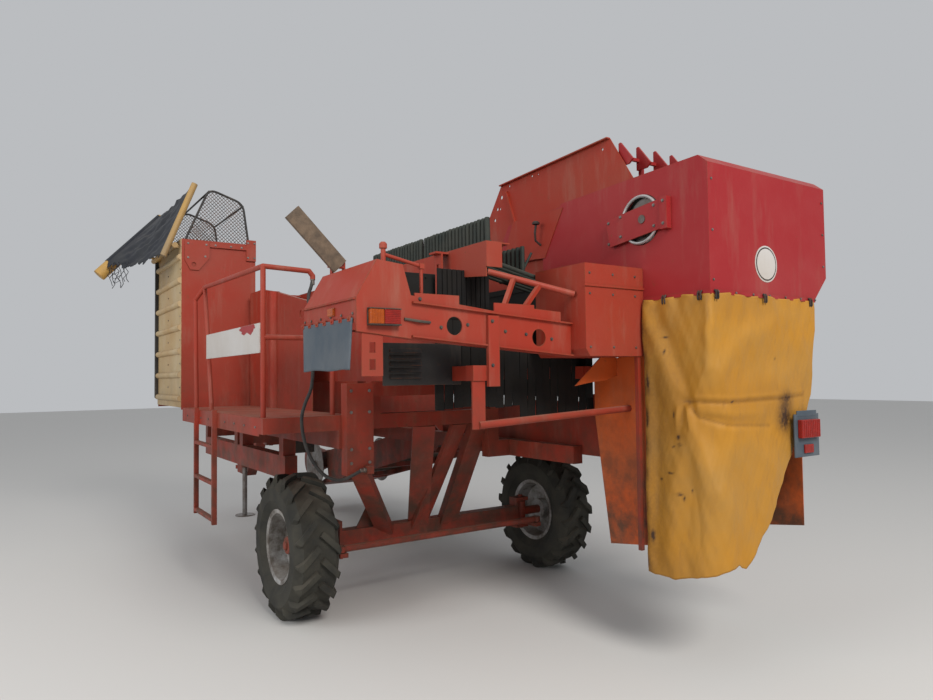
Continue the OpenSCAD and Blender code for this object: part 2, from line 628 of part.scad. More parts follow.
module elevator_web() in_frame() color("darkslategray") {
  x = house_x + 40;
  w = 1280 - x;
  difference() {
    union() {
      block([x, roller_top_y - 185, 900], [x + w, roller_top_y + 185, roller_top_z]);
      along_x(x, roller_top_y, 900, 185, w);
      along_x(x, roller_top_y, roller_top_z, 185, w);
    }
    block([x - 1, roller_top_y - 145, 900], [x + w + 1, roller_top_y + 145, roller_top_z]);
    along_x(x - 1, roller_top_y, roller_top_z, 145, w + 2);
  }
  along_x(x, roller_top_y, 900, 145, w);
  along_x(house_x + 2 * sheet_t + 2 * seat_gap, roller_top_y, 900, 25, 1290 - house_x - 2 * sheet_t - 3 * seat_gap);
}

module elevator_roller() in_frame() color("silver") {
  along_x(house_x + 12, roller_top_y, roller_top_z, 137, 958);
  along_x(house_x - 36, roller_top_y, roller_top_z, 25, house_right_x - house_x + 26);
}

module curtain() in_frame() color("goldenrod") {
  top = house_z - seat_gap;
  plate_xz([[house_x - curtain_t, top], [house_x - curtain_t, 600], [520, 630], [760, 930], [970, 1250],
    [1110, 1360], [1250, top]], house_rear_y - curtain_t, curtain_t + 4);
  plate_yz([[house_rear_y, top], [-1940, top], [-1940, curtain_z], [house_rear_y, curtain_z]],
    house_x - curtain_t, curtain_t + 4);
}

module web_trough() in_frame() color(RED) {
  for (x = [web_x, web_right_x - sheet_t])
    plate_yz([[-1740, web_z - 80], [620, web_z - 80], [620, web_z + 240], [-1740, web_z + 240]], x, sheet_t);
  for (y = [-1700, -600, 500]) block([web_x + sheet_t, y, web_z - 80], [web_right_x - sheet_t, y + 60, web_z - 20]);
}

// Rods half sunk into a web, across it, on both its faces
module web_rods(x, w, l, t) for (y = [40:80:l - 20], z = [-t / 2, t / 2])
  translate([x, y, z]) rotate([0, 90, 0]) cylinder(r = 6, h = w, $fn = 6);

module second_web() in_frame() color("dimgray") {
  x = web_x + 12;
  w = web_right_x - web_x - 24;
  t = web_t - 12;
  block([x, -1640, web_z + 6], [x + w, 530, web_z + 6 + t]);
  translate([0, -1640, web_z + 6 + t / 2]) web_rods(x, w, 2170, t);
  for (y = [-1640, 530]) {
    along_x(x, y, web_z + web_t / 2, t / 2, w);
    along_x(web_x + sheet_t + seat_gap, y, web_z + web_t / 2, 20, web_right_x - web_x - 2 * (sheet_t + seat_gap));
  }
}

// Tall panel on the housing's roof, with a fold and a row of holes at its slanting front edge
module deflector() in_frame() color(RED) difference() {
  g = seat_gap;
  x = deflector_x;
  union() {
    plate_yz([[-1858, house_roof_z - 12.9 + g], [-1662, deflector_z], [-519, deflector_z - 37], [-319, 2830],
      [-306, 2300], [house_front_y + g, 2300], [house_front_y + g, house_slope_z],
      [house_front_y - 200 + g, house_roof_z - 30 + g]], x, sheet_t);
    plate_yz([[-1662, deflector_z - 8], [-1662, deflector_z], [-519, deflector_z - 37], [-519, deflector_z - 45]],
      x - 25, 25);
    plate_yz([[-700, 2780], [-690, 2780], [-590, deflector_z - 100], [-600, deflector_z - 100]], x - 18, 18);
  }
  for (h = [[-520, 3010, 14], [-465, 2930, 12], [-500, 2925, 9], [-430, 2850, 12], [-620, 3075, 8], [-890, 3085, 8],
    [-960, 3080, 6], [-1600, 3080, 8]]) along_x(x - 30, h.x, h.y, h.z, 40);
}

// Rubber fingers in groups, each group on its foot bar along the channel's flange
module finger_combs() in_frame() color("darkslategray") {
  for (g = [[-1420, 3], [-1300, 16], [-640, 19]]) {
    block([-470, g.x - 20, comb_top_z], [-430, g.x + 40 * (g.y - 1) + 20, comb_top_z + 50]);
    for (i = [0:g.y - 1])
      translate([-450, g.x + 40 * i, comb_top_z + 50]) cylinder(r = 17, h = finger_l, $fn = 8);
  }
}

module comb_beams() in_frame() color("salmon") {
  // Side board on the left long beam
  block([upper_left_x, -1400, upper_top], [upper_left_x + 10, 1850, 2100]);
  // Channel that carries the finger combs, with its end plate and its brackets on the table
  plate_yz([[-1620, 2200], [-1620, comb_top_z], [1780, comb_top_z], [1780, 2300], [-630, 2300]], channel_x, 8);
  block([channel_x, -1620, comb_top_z - 8], [-440, 1780, comb_top_z]);
  block([channel_x, -1628, 2255], [-500, -1620, comb_top_z]);
  for (y = [-1200, 0, 1300]) {
    block([-700, y - 40, table_top], [channel_x, y + 40, table_top + 12]);
    block([-700, y - 40, comb_top_z - 20], [channel_x, y + 40, comb_top_z - 8]);
    difference() {
      block([-664, y - 40, table_top + 12], [-652, y + 40, comb_top_z - 20]);
      block([-665, y - 12, table_top + 60], [-651, y + 12, comb_top_z - 80]);
    }
  }
}

// Sloping rods before the chute box, the short comb over them and the ribbed rubber at their left
module cross_web() in_frame() color("darkslategray") {
  for (i = [0:5]) rod([-580, -1470 + 60 * i, 2344], [122, -1470 + 60 * i, 2190], 13);
  block([channel_x + 8, -1490, 2330], [-565, -1150, 2362]);
  block([110, chute_front_y, 2176], [140, -1150, 2204]);
  block([-170, -1390, 2240], [-130, -1150, 2290]);
  for (i = [0:5]) translate([-150, -1370 + 45 * i, 2280]) cylinder(r = 14, h = finger_l + 30, $fn = 8);
  rod([-150, -1347.5, 2272], [-60, -1347.5, 2420], 8);
  block([channel_x + 8, -1340, 2100], [channel_x + 18, -1150, 2340]);
}

module picking_table() in_frame() color(RED) {
  block([-700, -1400, table_z], [-60, 1850, table_top]);
  for (y = [-860, 1100]) block([-690, y, upper_top], [-620, y + 70, table_z]);
}

module bunker() in_frame() color(RED) difference() {
  block([bunker_x, bunker_rear_y, rail_top], [bunker_right_x, bunker_front_y, bunker_top_z]);
  block([bunker_x - 1, bunker_rear_y + sheet_t, rail_top + 40],
    [bunker_right_x - sheet_t, bunker_front_y - sheet_t, bunker_top_z + 1]);
}

module bunker_floor() in_frame() color("dimgray") {
  block([bunker_x + 10, bunker_rear_y + 14, rail_top + 40], [bunker_right_x - 14, bunker_front_y - 14, rail_top + 95]);
  for (x = [bunker_x + 40:100:bunker_right_x - 60])
    block([x, bunker_rear_y + 20, rail_top + 95], [x + 25, bunker_front_y - 20, rail_top + 110]);
}

module unload_wall(y0) difference() {
  plate_xz([[deck_x + sheet_t, unload_z - 20], [-1010, unload_z - 20], [-1010, 1250], [-910, 1250],
    [-880, unload_z - 20], [unload_right_x, unload_z - 20], [unload_right_x, unload_top_z],
    [deck_x + sheet_t, unload_top_z]], y0, sheet_t);
  along_y(unload_hinge_x, y0 - 1, unload_hinge_z, 20 + pin_gap, sheet_t + 2);
  for (z = [2140, 2230]) along_y(-1380, y0 - 1, z, 12, sheet_t + 2);
}

module unload_walls() in_frame() color(RED) {
  unload_wall(bunker_rear_y);
  unload_wall(bunker_front_y - sheet_t);
  block([-1400, bunker_rear_y + sheet_t, unload_z], [-1360, bunker_front_y - sheet_t, unload_z + 40]);
  // Plate with the pivot of the fall breaker's drive, channel and box at the rear wall's top
  difference() {
    plate_xz([[-1470, 2920], [-1470, 2740], [-1420, 2650], [-1345, 2650], [-1250, 2770], [-1250, 2920]],
      bunker_rear_y - 12, 12);
    along_y(-1390, bunker_rear_y - 13, 2700, 20, 20);
  }
  block([-1250, bunker_rear_y - 18, 2870], [-915, bunker_rear_y, 2910]);
  block([-915, bunker_rear_y - 18, 2770], [unload_right_x, bunker_rear_y, 2970]);
}

// Cream outer panel with its half-round ribs
module unload_floor() in_frame() color("cornsilk") {
  block([deck_x, bunker_rear_y, unload_z], [deck_x + sheet_t, bunker_front_y, unload_top_z]);
  for (z = [unload_z + 80:214:unload_top_z - 100]) intersection() {
    along_y(deck_x, bunker_rear_y, z, 28, bunker_l);
    block([deck_x - 30, bunker_rear_y, z - 30], [deck_x + 2, bunker_front_y, z + 30]);
  }
}

// A place between two points
function between(a, b, t) = a + (b - a) * t;

// Mesh guards on both end walls, joined at their tops
module unload_guard() in_frame() color("black") {
  y0 = bunker_rear_y + sheet_t + seat_gap + guard_r;
  y1 = bunker_front_y - sheet_t - seat_gap - guard_r;
  for (y = [y0, y1]) {
    a = [-1475, y, unload_top_z - 40];
    b = [-1250, y, guard_z - guard_r];
    c = [-940, y, guard_z - 110];
    d = [-880, y, unload_top_z - 40];
    for (e = [[a, b], [b, c], [c, d], [a, d]]) rod(e[0], e[1], guard_r);
    for (p = [a, b, c, d]) translate(p) sphere(r = guard_r);
    for (t = [0.2:0.2:0.8]) {
      rod(between(a, b, t), between(d, c, t), 4, $fn = 6);
      rod(between(a, d, t), between(b, c, t), 4, $fn = 6);
    }
  }
  rod([-1250, y0, guard_z - guard_r], [-1250, y1, guard_z - guard_r], guard_r);
  rod([-940, y0, guard_z - 110], [-940, y1, guard_z - 110], guard_r);
}

// Foot and head of the fall breaker's rear pole, then of its front pole
function rear_foot() = [-1640, pole_rear_y, 2770];
function rear_head() = [-1370, pole_rear_y, 3460];
function front_foot() = [breaker_tip_x + pole_front_r * sin(pole_front_lean), pole_front_y, 2680];
function front_head() = front_foot() + 850 * [cos(pole_front_lean), 0, sin(pole_front_lean)];

module breaker_poles() in_frame() color("burlywood") {
  rod(rear_foot(), rear_head(), pole_rear_r);
  rod(front_foot(), front_head(), pole_front_r);
  // Hinge tube on lugs at the cream panel, and the arms to the poles
  x = deck_x - seat_gap - 20 - hinge_tube_r;
  y = bunker_rear_y + 20;
  along_y(x, y, 2870, hinge_tube_r, bunker_l - 40);
  for (l = [y + 60, bunker_front_y - 120]) block([x, l, 2855], [deck_x - seat_gap, l + 30, 2885]);
  rod([x, pole_rear_y, 2870], between(rear_foot(), rear_head(), 0.16), 14);
  rod([x, pole_front_y, 2870], between(front_foot(), front_head(), 0.56), 16);
}

// Cloth between the two poles, twisted because they lean differently
module breaker_cloth() in_frame() color("black") {
  n = 4;
  t = [7, 0, -6];
  a = [for (i = [0:n]) between(rear_foot(), rear_head(), 0.12 + 0.2 * i) + [0, pole_rear_r + seat_gap, 0]];
  b = [for (i = [0:n]) between(front_foot(), front_head(), 0.1 + 0.2 * i) - [0, pole_front_r + seat_gap, 0]];
  points = [for (i = [0:n]) each [a[i], a[i] + t, b[i], b[i] + t]];
  sides = [for (i = [0:n - 1]) let (k = 4 * i) each [[k, k + 2, k + 6], [k, k + 6, k + 4], [k + 1, k + 5, k + 7],
    [k + 1, k + 7, k + 3], [k, k + 4, k + 5, k + 1], [k + 2, k + 3, k + 7, k + 6]]];
  polyhedron(points, concat(sides, [[0, 1, 3, 2], [4 * n, 4 * n + 2, 4 * n + 3, 4 * n + 1]]));
}

module dig_local() translate([0, dig_pivot_y, dig_pivot_z]) rotate([-dig_tilt, 0, 0]) children();

module dig_frame() in_frame() color(RED) dig_local() {
  for (x = [web_x + 20, web_right_x - 30]) difference() {
    union() {
      plate_yz([[0, -50], [120, -110], [2700, -110], [2700, 60], [2950, 100], [2990, 140], [2950, 180], [2700, 170],
        [120, 170], [0, 50]], x, 10);
      along_x(x, 0, 0, 50, 10);
    }
    along_x(x - 1, 0, 0, dig_pin_r + pin_gap, 12);
  }
  for (y = [300, 1400, 2400]) block([web_x + 30, y, -110], [web_right_x - 30, y + 50, -60]);
  // Pins of the coulters, arms and shaft of the ridge roller
  along_x(web_x - 65, coulter_y, coulter_z, coulter_pin_r, 85);
  along_x(web_right_x - 20, coulter_y, coulter_z, coulter_pin_r, 85);
  for (x = [web_x + 30, web_right_x - 50])
    plate_yz([[2200, 130], [2300, 260], [roller_y + 40, roller_z + 45], [roller_y + 40, roller_z - 45], [2600, 130]], x, 20);
  along_x(web_x + 40, roller_y, roller_z, coulter_pin_r, web_right_x - web_x - 80);
  plate_yz([[2700, -110], [dig_l, -110], [dig_l, -100], [2760, -40], [2700, -40]], web_x + 30, web_right_x - web_x - 60);
}

module dig_web() in_frame() color("dimgray") dig_local() {
  block([web_x + 40, 100, -39], [web_right_x - 40, 2600, 39]);
  translate([0, 100, 0]) web_rods(web_x + 40, web_right_x - web_x - 80, 2500, 78);
  for (y = [100, 2600]) {
    along_x(web_x + 40, y, 0, 39, web_right_x - web_x - 80);
    along_x(web_x + 30 + seat_gap, y, 0, 20, web_right_x - web_x - 60 - 2 * seat_gap);
  }
}

module coulter(x) dig_local() difference() {
  union() {
    along_x(x - 4, coulter_y, coulter_z, coulter_r, 8);
    along_x(x - 20, coulter_y, coulter_z, 50, 40);
  }
  along_x(x - 30, coulter_y, coulter_z, coulter_pin_r + pin_gap, 60);
}

module coulter_left() in_frame() color("gray") coulter(web_x - 40);
module coulter_right() in_frame() color("gray") coulter(web_right_x + 40);

module ridge_roller() in_frame() color("firebrick") dig_local()
  translate([web_x + 60, roller_y, roller_z]) rotate([0, 90, 0]) difference() {
    rotate_extrude() polygon([[0, 0], [roller_r, 0], [120, 220], [120, 490], [roller_r, 710], [0, 710]]);
    translate([0, 0, -1]) cylinder(r = coulter_pin_r + pin_gap, h = 712);
  }

module gearbox() in_frame() color("dimgray") {
  block([-80, rail_front_y - 120, 800], [180, rail_front_y - 20, rail_z]);
  along_y(50, rail_front_y - 20, 900, 60, 100);
}

// Cover over the drive on the right rail
module drive_guard() in_frame() color(RED)
  plate_yz([[-1200, 1080], [-300, 1080], [-260, 1300], [-340, 1480], [-1140, 1500], [-1210, 1380]], rail_right_x, 50);

module drawbar() in_frame() color(RED) {
  difference() {
    translate([drawbar_x, drawbar_pin_y, 925]) cylinder(r = 55, h = 150);
    translate([drawbar_x, drawbar_pin_y, 900]) cylinder(r = drawbar_pin_r + pin_gap, h = 200);
  }
  difference() {
    plate_yz([[drawbar_pin_y + 40, 930], [drawbar_pin_y + 40, 1070], [drawbar_pin_y + 400, 1040],
      [drawbar_front_y - 500, eye_z + 80], [drawbar_front_y - 150, eye_z + 50], [drawbar_front_y - 150, eye_z - 50],
      [drawbar_front_y - 540, eye_z - 60], [drawbar_pin_y + 340, 900]], drawbar_x - 60, 120);
    translate([drawbar_x, drawbar_pin_y, 900]) cylinder(r = drawbar_pin_r + 1, h = 200);
  }
  // Sleeve of the jack
  difference() {
    union() {
      translate([drawbar_x - 110, jack_y, 580]) cylinder(r = jack_r + 16, h = 170);
      block([drawbar_x - 80, jack_y - 30, 600], [drawbar_x - 60, jack_y + 30, 730]);
    }
    translate([drawbar_x - 110, jack_y, 570]) cylinder(r = jack_r + pin_gap, h = 190);
  }
  difference() {
    union() {
      translate([drawbar_x, drawbar_front_y - 55, eye_z - 22]) cylinder(r = 55, h = 44);
      block([drawbar_x - 35, drawbar_front_y - 150, eye_z - 22], [drawbar_x + 35, drawbar_front_y - 60, eye_z + 22]);
    }
    translate([drawbar_x, drawbar_front_y - 55, eye_z - 30]) cylinder(r = eye_hole_r, h = 60);
  }
}

module jack() in_frame() color("gray") translate([drawbar_x - 110, jack_y, 0]) {
  cylinder(r = jack_foot_r, h = 12);
  translate([0, 0, 12]) cylinder(r = jack_r, h = 800);
}

// Board that stands at the roof's levers
module plank() in_frame() color("peru")
  translate([-1310, -1195 - 8 - seat_gap, 2262]) rotate([0, -45, 0]) block([-48, -22, -10], [48, 0, 375]);

// Route of the hose, from the handrail's end to its fitting on the left leg
hose_route = [[-1135, -380, 2300], [-1148, -386, 2250], [-1180, -425, 2190], [-1210, -500, 2120],
  [-1230, -560, 2040], [-1238, -600, 1950], [-1232, -600, 1830], [-1222, -600, 1700], [-1234, -600, 1580],
  [-1272, -600, 1490], [-1296, -600, 1390], [-1276, -600, 1250], [-1220, -600, 1120], [-1140, -600, 1030],
  [-1040, -600, 995], [-950, -600, 1020], [-900, -600, 1042], [-860, -600, 1045]];

// A point of a smooth curve through b and c
function smooth(a, b, c, d, t) = 0.5 * (2 * b + (c - a) * t + (2 * a - 5 * b + 4 * c - d) * t * t
  + (3 * b - a - 3 * c + d) * t * t * t);
function unit(v) = v / norm(v);

module hose() in_frame() color("black") {
  last = len(hose_route) - 1;
  path = [for (i = [0:last - 1], t = [0, 0.5]) smooth(hose_route[max(i - 1, 0)], hose_route[i], hose_route[i + 1],
    hose_route[min(i + 2, last)], t), hose_route[last]];
  m = len(path) - 1;
  ends = concat([[0, 0, 1]], [for (i = [1:m - 1]) unit(path[i - 1] - path[i + 1])], [[-1, 0, 0]]);
  ring = [for (i = [0:m]) let (u = unit(cross(ends[i], [0, 1, 0])), w = cross(ends[i], u))
    for (k = [0:7]) path[i] + hose_r * (cos(45 * k) * u + sin(45 * k) * w)];
  sides = [for (i = [0:m - 1], k = [0:7]) let (a = 8 * i + k, b = 8 * i + (k + 1) % 8)
    each [[a, b, b + 8], [a, b + 8, a + 8]]];
  polyhedron(ring, concat(sides, [[for (k = [7:-1:0]) k], [for (k = [0:7]) 8 * m + k]]));
}

main_frame();
upper_frame();
axle_beam();
axle_legs();
knuckle_left();
knuckle_right();
tie_rod();
rim_left();
rim_right();
tyre_left();
tyre_right();
platform();
side_wall();
ladder();
railing();
rail_panel();
rear_beam();
hood();
hood_flap();
lamp_left();
lamp_right();
chute_box();
elevator_housing();
elevator_casing();
elevator_web();
elevator_roller();
curtain();
web_trough();
second_web();
deflector();
finger_combs();
comb_beams();
cross_web();
picking_table();
bunker();
bunker_floor();
unload_walls();
unload_floor();
unload_guard();
breaker_poles();
breaker_cloth();
dig_frame();
dig_web();
coulter_left();
coulter_right();
ridge_roller();
gearbox();
drive_guard();
drawbar();
jack();
plank();
hose();
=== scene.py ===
# Looks of the trailed potato harvester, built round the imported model. Metres, in the model's own frame.
import json
import math

import bmesh
import bpy
from mathutils import Matrix, Vector


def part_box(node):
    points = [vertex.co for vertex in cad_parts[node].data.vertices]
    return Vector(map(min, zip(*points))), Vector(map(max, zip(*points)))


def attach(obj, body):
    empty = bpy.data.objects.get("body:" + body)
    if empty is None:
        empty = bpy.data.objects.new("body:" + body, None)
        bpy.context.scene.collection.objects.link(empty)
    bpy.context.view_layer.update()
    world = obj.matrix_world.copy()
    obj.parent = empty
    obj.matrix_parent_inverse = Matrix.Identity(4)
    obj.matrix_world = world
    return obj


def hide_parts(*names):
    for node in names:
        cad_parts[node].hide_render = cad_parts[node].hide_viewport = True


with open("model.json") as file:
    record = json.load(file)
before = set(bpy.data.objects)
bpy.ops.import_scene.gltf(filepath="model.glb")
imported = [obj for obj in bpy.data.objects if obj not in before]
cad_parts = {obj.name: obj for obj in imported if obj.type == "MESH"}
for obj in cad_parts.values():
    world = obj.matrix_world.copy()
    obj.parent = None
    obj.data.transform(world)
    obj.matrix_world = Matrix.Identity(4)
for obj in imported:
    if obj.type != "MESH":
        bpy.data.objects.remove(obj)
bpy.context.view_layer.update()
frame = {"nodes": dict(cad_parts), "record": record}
scene = bpy.context.scene

# The model's own frame lies this far from the working places that part.scad measures from the axle
SHIFT = Vector((0.325, -1.010, 0.0))


def at(x, y, z):
    """A place measured from the axle, in millimetres, as a point of the model's frame in metres."""
    return Vector((x, y, z)) / 1000 + SHIFT


# Directions that faces look in
BACK, LEFT, RIGHT, UP, DOWN = (0, -1, 0), (-1, 0, 0), (1, 0, 0), (0, 0, 1), (0, 0, -1)

# Faces that small parts sit on, in millimetres from the axle: Y of the housing's rear wall, of the bar that
# clamps the curtain and of the rear beam, and the height of the middle of that bar
HOUSING_BACK, CLAMP_BACK, BEAM_BACK = -2400, -2412, -1808
CLAMP_Z = 2084

# Camera, solved from the machine's parallel edges
CAMERA_PLACE = Vector((-2.525, -5.790, 1.640))
camera_data = bpy.data.cameras.new("camera")
camera_data.sensor_width = 36
camera_data.lens = 27.0
camera_data.clip_end = 200
camera = bpy.data.objects.new("camera", camera_data)
look = Vector((0.5542, 0.8315, 0.0388)).normalized()
right = Vector((0.8323, -0.5541, -0.0125)).normalized()
up = right.cross(look).normalized()
right = look.cross(up).normalized()
camera.matrix_world = Matrix((
    (right.x, up.x, -look.x, CAMERA_PLACE.x),
    (right.y, up.y, -look.y, CAMERA_PLACE.y),
    (right.z, up.z, -look.z, CAMERA_PLACE.z),
    (0, 0, 0, 1)))
scene.collection.objects.link(camera)
scene.camera = camera

# Colours of what lies on the paint and of the painted shade low on the machine, width of worn edges in
# metres, and fineness of the curtain's threads
DUST = (0.33, 0.26, 0.19)
RUST = (0.16, 0.055, 0.02)
LOW_SHADE = (0.055, 0.040, 0.026)
WORN_EDGE = 0.008
THREADS = 900 / 6.28


# Materials
class Tree:
    """A material's nodes, built one call at a time."""

    def __init__(self, name):
        self.material = bpy.data.materials.new(name)
        self.material.use_nodes = True
        self.nodes = self.material.node_tree.nodes
        self.links = self.material.node_tree.links
        self.shader = self.nodes["Principled BSDF"]
        self.place = self.add("ShaderNodeTexCoord").outputs["Object"]
        self.normal = self.add("ShaderNodeNewGeometry").outputs["Normal"]

    def add(self, kind, **settings):
        node = self.nodes.new(kind)
        for key, value in settings.items():
            setattr(node, key, value)
        return node

    def put(self, socket, value):
        if isinstance(value, bpy.types.NodeSocket):
            self.links.new(value, socket)
        elif isinstance(value, tuple) and len(value) == 3 and socket.type == "RGBA":
            socket.default_value = (*value, 1)
        else:
            socket.default_value = value

    def noise(self, scale, detail, rough=0.55, stretch=(1, 1, 1)):
        place = self.place
        if stretch != (1, 1, 1):
            mapping = self.add("ShaderNodeMapping")
            mapping.inputs["Scale"].default_value = stretch
            self.links.new(self.place, mapping.inputs["Vector"])
            place = mapping.outputs["Vector"]
        node = self.add("ShaderNodeTexNoise")
        self.links.new(place, node.inputs["Vector"])
        node.inputs["Scale"].default_value = scale
        node.inputs["Detail"].default_value = detail
        node.inputs["Roughness"].default_value = rough
        return node.outputs["Fac"]

    def span(self, value, low, high, to_low=0.0, to_high=1.0):
        node = self.add("ShaderNodeMapRange")
        self.put(node.inputs["Value"], value)
        node.inputs["From Min"].default_value = low
        node.inputs["From Max"].default_value = high
        node.inputs["To Min"].default_value = to_low
        node.inputs["To Max"].default_value = to_high
        return node.outputs["Result"]

    def math(self, what, a, b):
        node = self.add("ShaderNodeMath", operation=what)
        self.put(node.inputs[0], a)
        self.put(node.inputs[1], b)
        return node.outputs[0]

    def weave(self):
        """Two crossed sets of threads."""
        total = None
        for direction in ("X", "Z"):
            node = self.add("ShaderNodeTexWave", wave_type="BANDS", bands_direction=direction)
            self.links.new(self.place, node.inputs["Vector"])
            node.inputs["Scale"].default_value = THREADS
            node.inputs["Distortion"].default_value = 0.4
            total = node.outputs["Fac"] if total is None else self.math("ADD", total, node.outputs["Fac"])
        return total

    def mix(self, amount, a, b):
        node = self.add("ShaderNodeMix", data_type="RGBA")
        self.put(node.inputs["Factor"], amount)
        self.put(node.inputs["A"], a)
        self.put(node.inputs["B"], b)
        return node.outputs["Result"]

    def axis(self, source, letter):
        node = self.add("ShaderNodeSeparateXYZ")
        self.links.new(source, node.inputs[0])
        return node.outputs[letter]

    def edges(self):
        """1 along sharp edges, 0 on flat faces."""
        bevel = self.add("ShaderNodeBevel", samples=4)
        bevel.inputs["Radius"].default_value = WORN_EDGE
        dot = self.add("ShaderNodeVectorMath", operation="DOT_PRODUCT")
        self.links.new(bevel.outputs[0], dot.inputs[0])
        self.links.new(self.normal, dot.inputs[1])
        return self.span(dot.outputs["Value"], 0.98, 0.85)

    def bump(self, height, strength, distance):
        node = self.add("ShaderNodeBump")
        node.inputs["Strength"].default_value = strength
        node.inputs["Distance"].default_value = distance
        self.put(node.inputs["Height"], height)
        self.links.new(node.outputs[0], self.shader.inputs["Normal"])

    def finish(self, colour, rough, metallic=0.0):
        self.shader.inputs["Specular IOR Level"].default_value = 0.3
        self.put(self.shader.inputs["Base Color"], colour)
        self.put(self.shader.inputs["Roughness"], rough)
        self.put(self.shader.inputs["Metallic"], metallic)
        return self.material


def paint(name, base, faded, rust, dust, rough=0.45):
    """Old machine paint: faded in patches, rusty in spots and on edges, dusty on top and darker low down,
    which is painted shade under the machine.
    """
    tree = Tree(name)
    colour = tree.mix(tree.span(tree.noise(1.6, 5, 0.6), 0.35, 0.68), base, faded)
    streak = tree.span(tree.noise(9, 6, 0.65, (1, 1, 0.18)), 0.52, 0.8)
    colour = tree.mix(tree.math("MULTIPLY", streak, 0.35 * dust + 0.1), colour, DUST)
    spots = tree.span(tree.noise(23, 8, 0.72), 0.66 - 0.1 * rust, 0.76 - 0.08 * rust)
    patch = tree.span(tree.noise(2.7, 3), 0.45, 0.62)
    mask = tree.math("MULTIPLY", spots, patch)
    worn = tree.math("MULTIPLY", tree.edges(), tree.span(tree.noise(17, 6, 0.7), 0.42, 0.58))
    mask = tree.math("MAXIMUM", mask, tree.math("MULTIPLY", worn, min(1.0, 0.5 + rust * 0.5)))
    colour = tree.mix(mask, colour, RUST)
    # Darker towards the bottom: painted shade under the machine
    low = tree.span(tree.axis(tree.place, "Z"), 1.9, 0.75)
    low_shade = tree.math("MULTIPLY", low, tree.span(tree.noise(5, 6, 0.7), 0.30, 0.62))
    colour = tree.mix(tree.math("MULTIPLY", low_shade, 0.88), colour, LOW_SHADE)
    top = tree.span(tree.axis(tree.normal, "Z"), 0.55, 0.95)
    settled = tree.math("MULTIPLY", top, tree.span(tree.noise(5, 5), 0.3, 0.7, 0.25, 0.95))
    colour = tree.mix(tree.math("MULTIPLY", settled, dust), colour, DUST)
    matt = tree.span(tree.noise(4, 4), 0.3, 0.7, rough, rough + 0.2)
    roughness = tree.math("MAXIMUM", tree.math("MULTIPLY", mask, 0.9), matt)
    tree.bump(tree.math("ADD", tree.math("MULTIPLY", mask, -0.6), tree.noise(70, 3)), 0.25, 0.0012)
    return tree.finish(colour, roughness)


def plain(name, base, other, scale, rough, metallic=0.0, bump=0.3, dust=0.3):
    """A surface with two tones, dust on top and a fine bump."""
    tree = Tree(name)
    colour = tree.mix(tree.span(tree.noise(scale, 6, 0.62), 0.35, 0.68), base, other)
    top = tree.span(tree.axis(tree.normal, "Z"), 0.5, 0.95)
    settled = tree.math("MULTIPLY", top, tree.span(tree.noise(5, 5), 0.3, 0.7, 0.2, 0.9))
    colour = tree.mix(tree.math("MULTIPLY", settled, dust), colour, DUST)
    tree.bump(tree.noise(60, 5, 0.6), bump, 0.002)
    roughness = tree.span(tree.noise(scale * 2, 4), 0.3, 0.7, rough - 0.08, rough + 0.1)
    return tree.finish(colour, roughness, metallic)


def cloth(name):
    """Coated ochre cloth: a fine weave, cloudy fading, and grime and painted shade from the mesh's own
    values.
    """
    tree = Tree(name)
    clouds = tree.span(tree.noise(2.2, 5, 0.6), 0.35, 0.68)
    colour = tree.mix(clouds, (0.47, 0.210, 0.016), (0.40, 0.205, 0.040))
    shade = tree.span(tree.noise(1.1, 3, 0.5, (1, 1, 2)), 0.45, 0.7, 0, 0.5)
    colour = tree.mix(shade, colour, (0.33, 0.145, 0.018))
    streak = tree.math("MULTIPLY", tree.span(tree.noise(14, 7, 0.7, (1, 1, 0.25)), 0.56, 0.8), 0.45)
    colour = tree.mix(streak, colour, (0.20, 0.10, 0.035))
    # The mesh's values hold grime and painted shade: the side face and two creases are darkened as if in
    # shade
    stain_and_shade = tree.add("ShaderNodeAttribute", attribute_name="stain_and_shade").outputs["Fac"]
    ragged = tree.math("MULTIPLY", stain_and_shade, tree.span(tree.noise(60, 4), 0.3, 0.6, 0.7, 1.25))
    colour = tree.mix(tree.span(ragged, 0.0, 0.9), colour, (0.050, 0.022, 0.010))
    weave = tree.math("ADD", tree.weave(), tree.math("MULTIPLY", tree.noise(40, 4), 1.5))
    tree.bump(weave, 0.25, 0.0006)
    tree.shader.inputs["Sheen Weight"].default_value = 0.02
    return tree.finish(colour, tree.span(tree.noise(8, 3), 0.3, 0.7, 0.48, 0.62))


RED = paint("red_paint", (0.32, 0.026, 0.011), (0.30, 0.046, 0.025), rust=0.75, dust=0.4)
CRIMSON = paint("crimson_paint", (0.30, 0.013, 0.016), (0.32, 0.030, 0.030), rust=0.3, dust=0.25, rough=0.38)
ORANGE = paint("orange_paint", (0.62, 0.095, 0.012), (0.54, 0.12, 0.032), rust=0.35, dust=0.25)
CREAM = paint("cream_paint", (0.44, 0.285, 0.125), (0.50, 0.385, 0.22), rust=0.7, dust=0.3)
WHITE = paint("white_paint", (0.56, 0.54, 0.52), (0.50, 0.46, 0.42), rust=0.25, dust=0.3)
SILVER = paint("rim_paint", (0.56, 0.57, 0.58), (0.42, 0.41, 0.39), rust=0.3, dust=0.35)
BLACK = paint("black_paint", (0.018, 0.018, 0.020), (0.04, 0.038, 0.035), rust=0.3, dust=0.3)
TAN = paint("tan_paint", (0.48, 0.28, 0.07), (0.30, 0.21, 0.11), rust=0.2, dust=0.4)
STEEL = plain("bare_steel", (0.26, 0.25, 0.24), (0.13, 0.09, 0.07), 9, 0.42, 0.8)
WEB = plain("web_steel", (0.13, 0.10, 0.075), (0.075, 0.05, 0.035), 12, 0.6, 0.4)
IRON = plain("gear_iron", (0.06, 0.06, 0.06), (0.11, 0.09, 0.07), 9, 0.6, 0.3)
RUBBER = plain("web_rubber", (0.022, 0.030, 0.026), (0.050, 0.054, 0.044), 7, 0.7, dust=0.2)
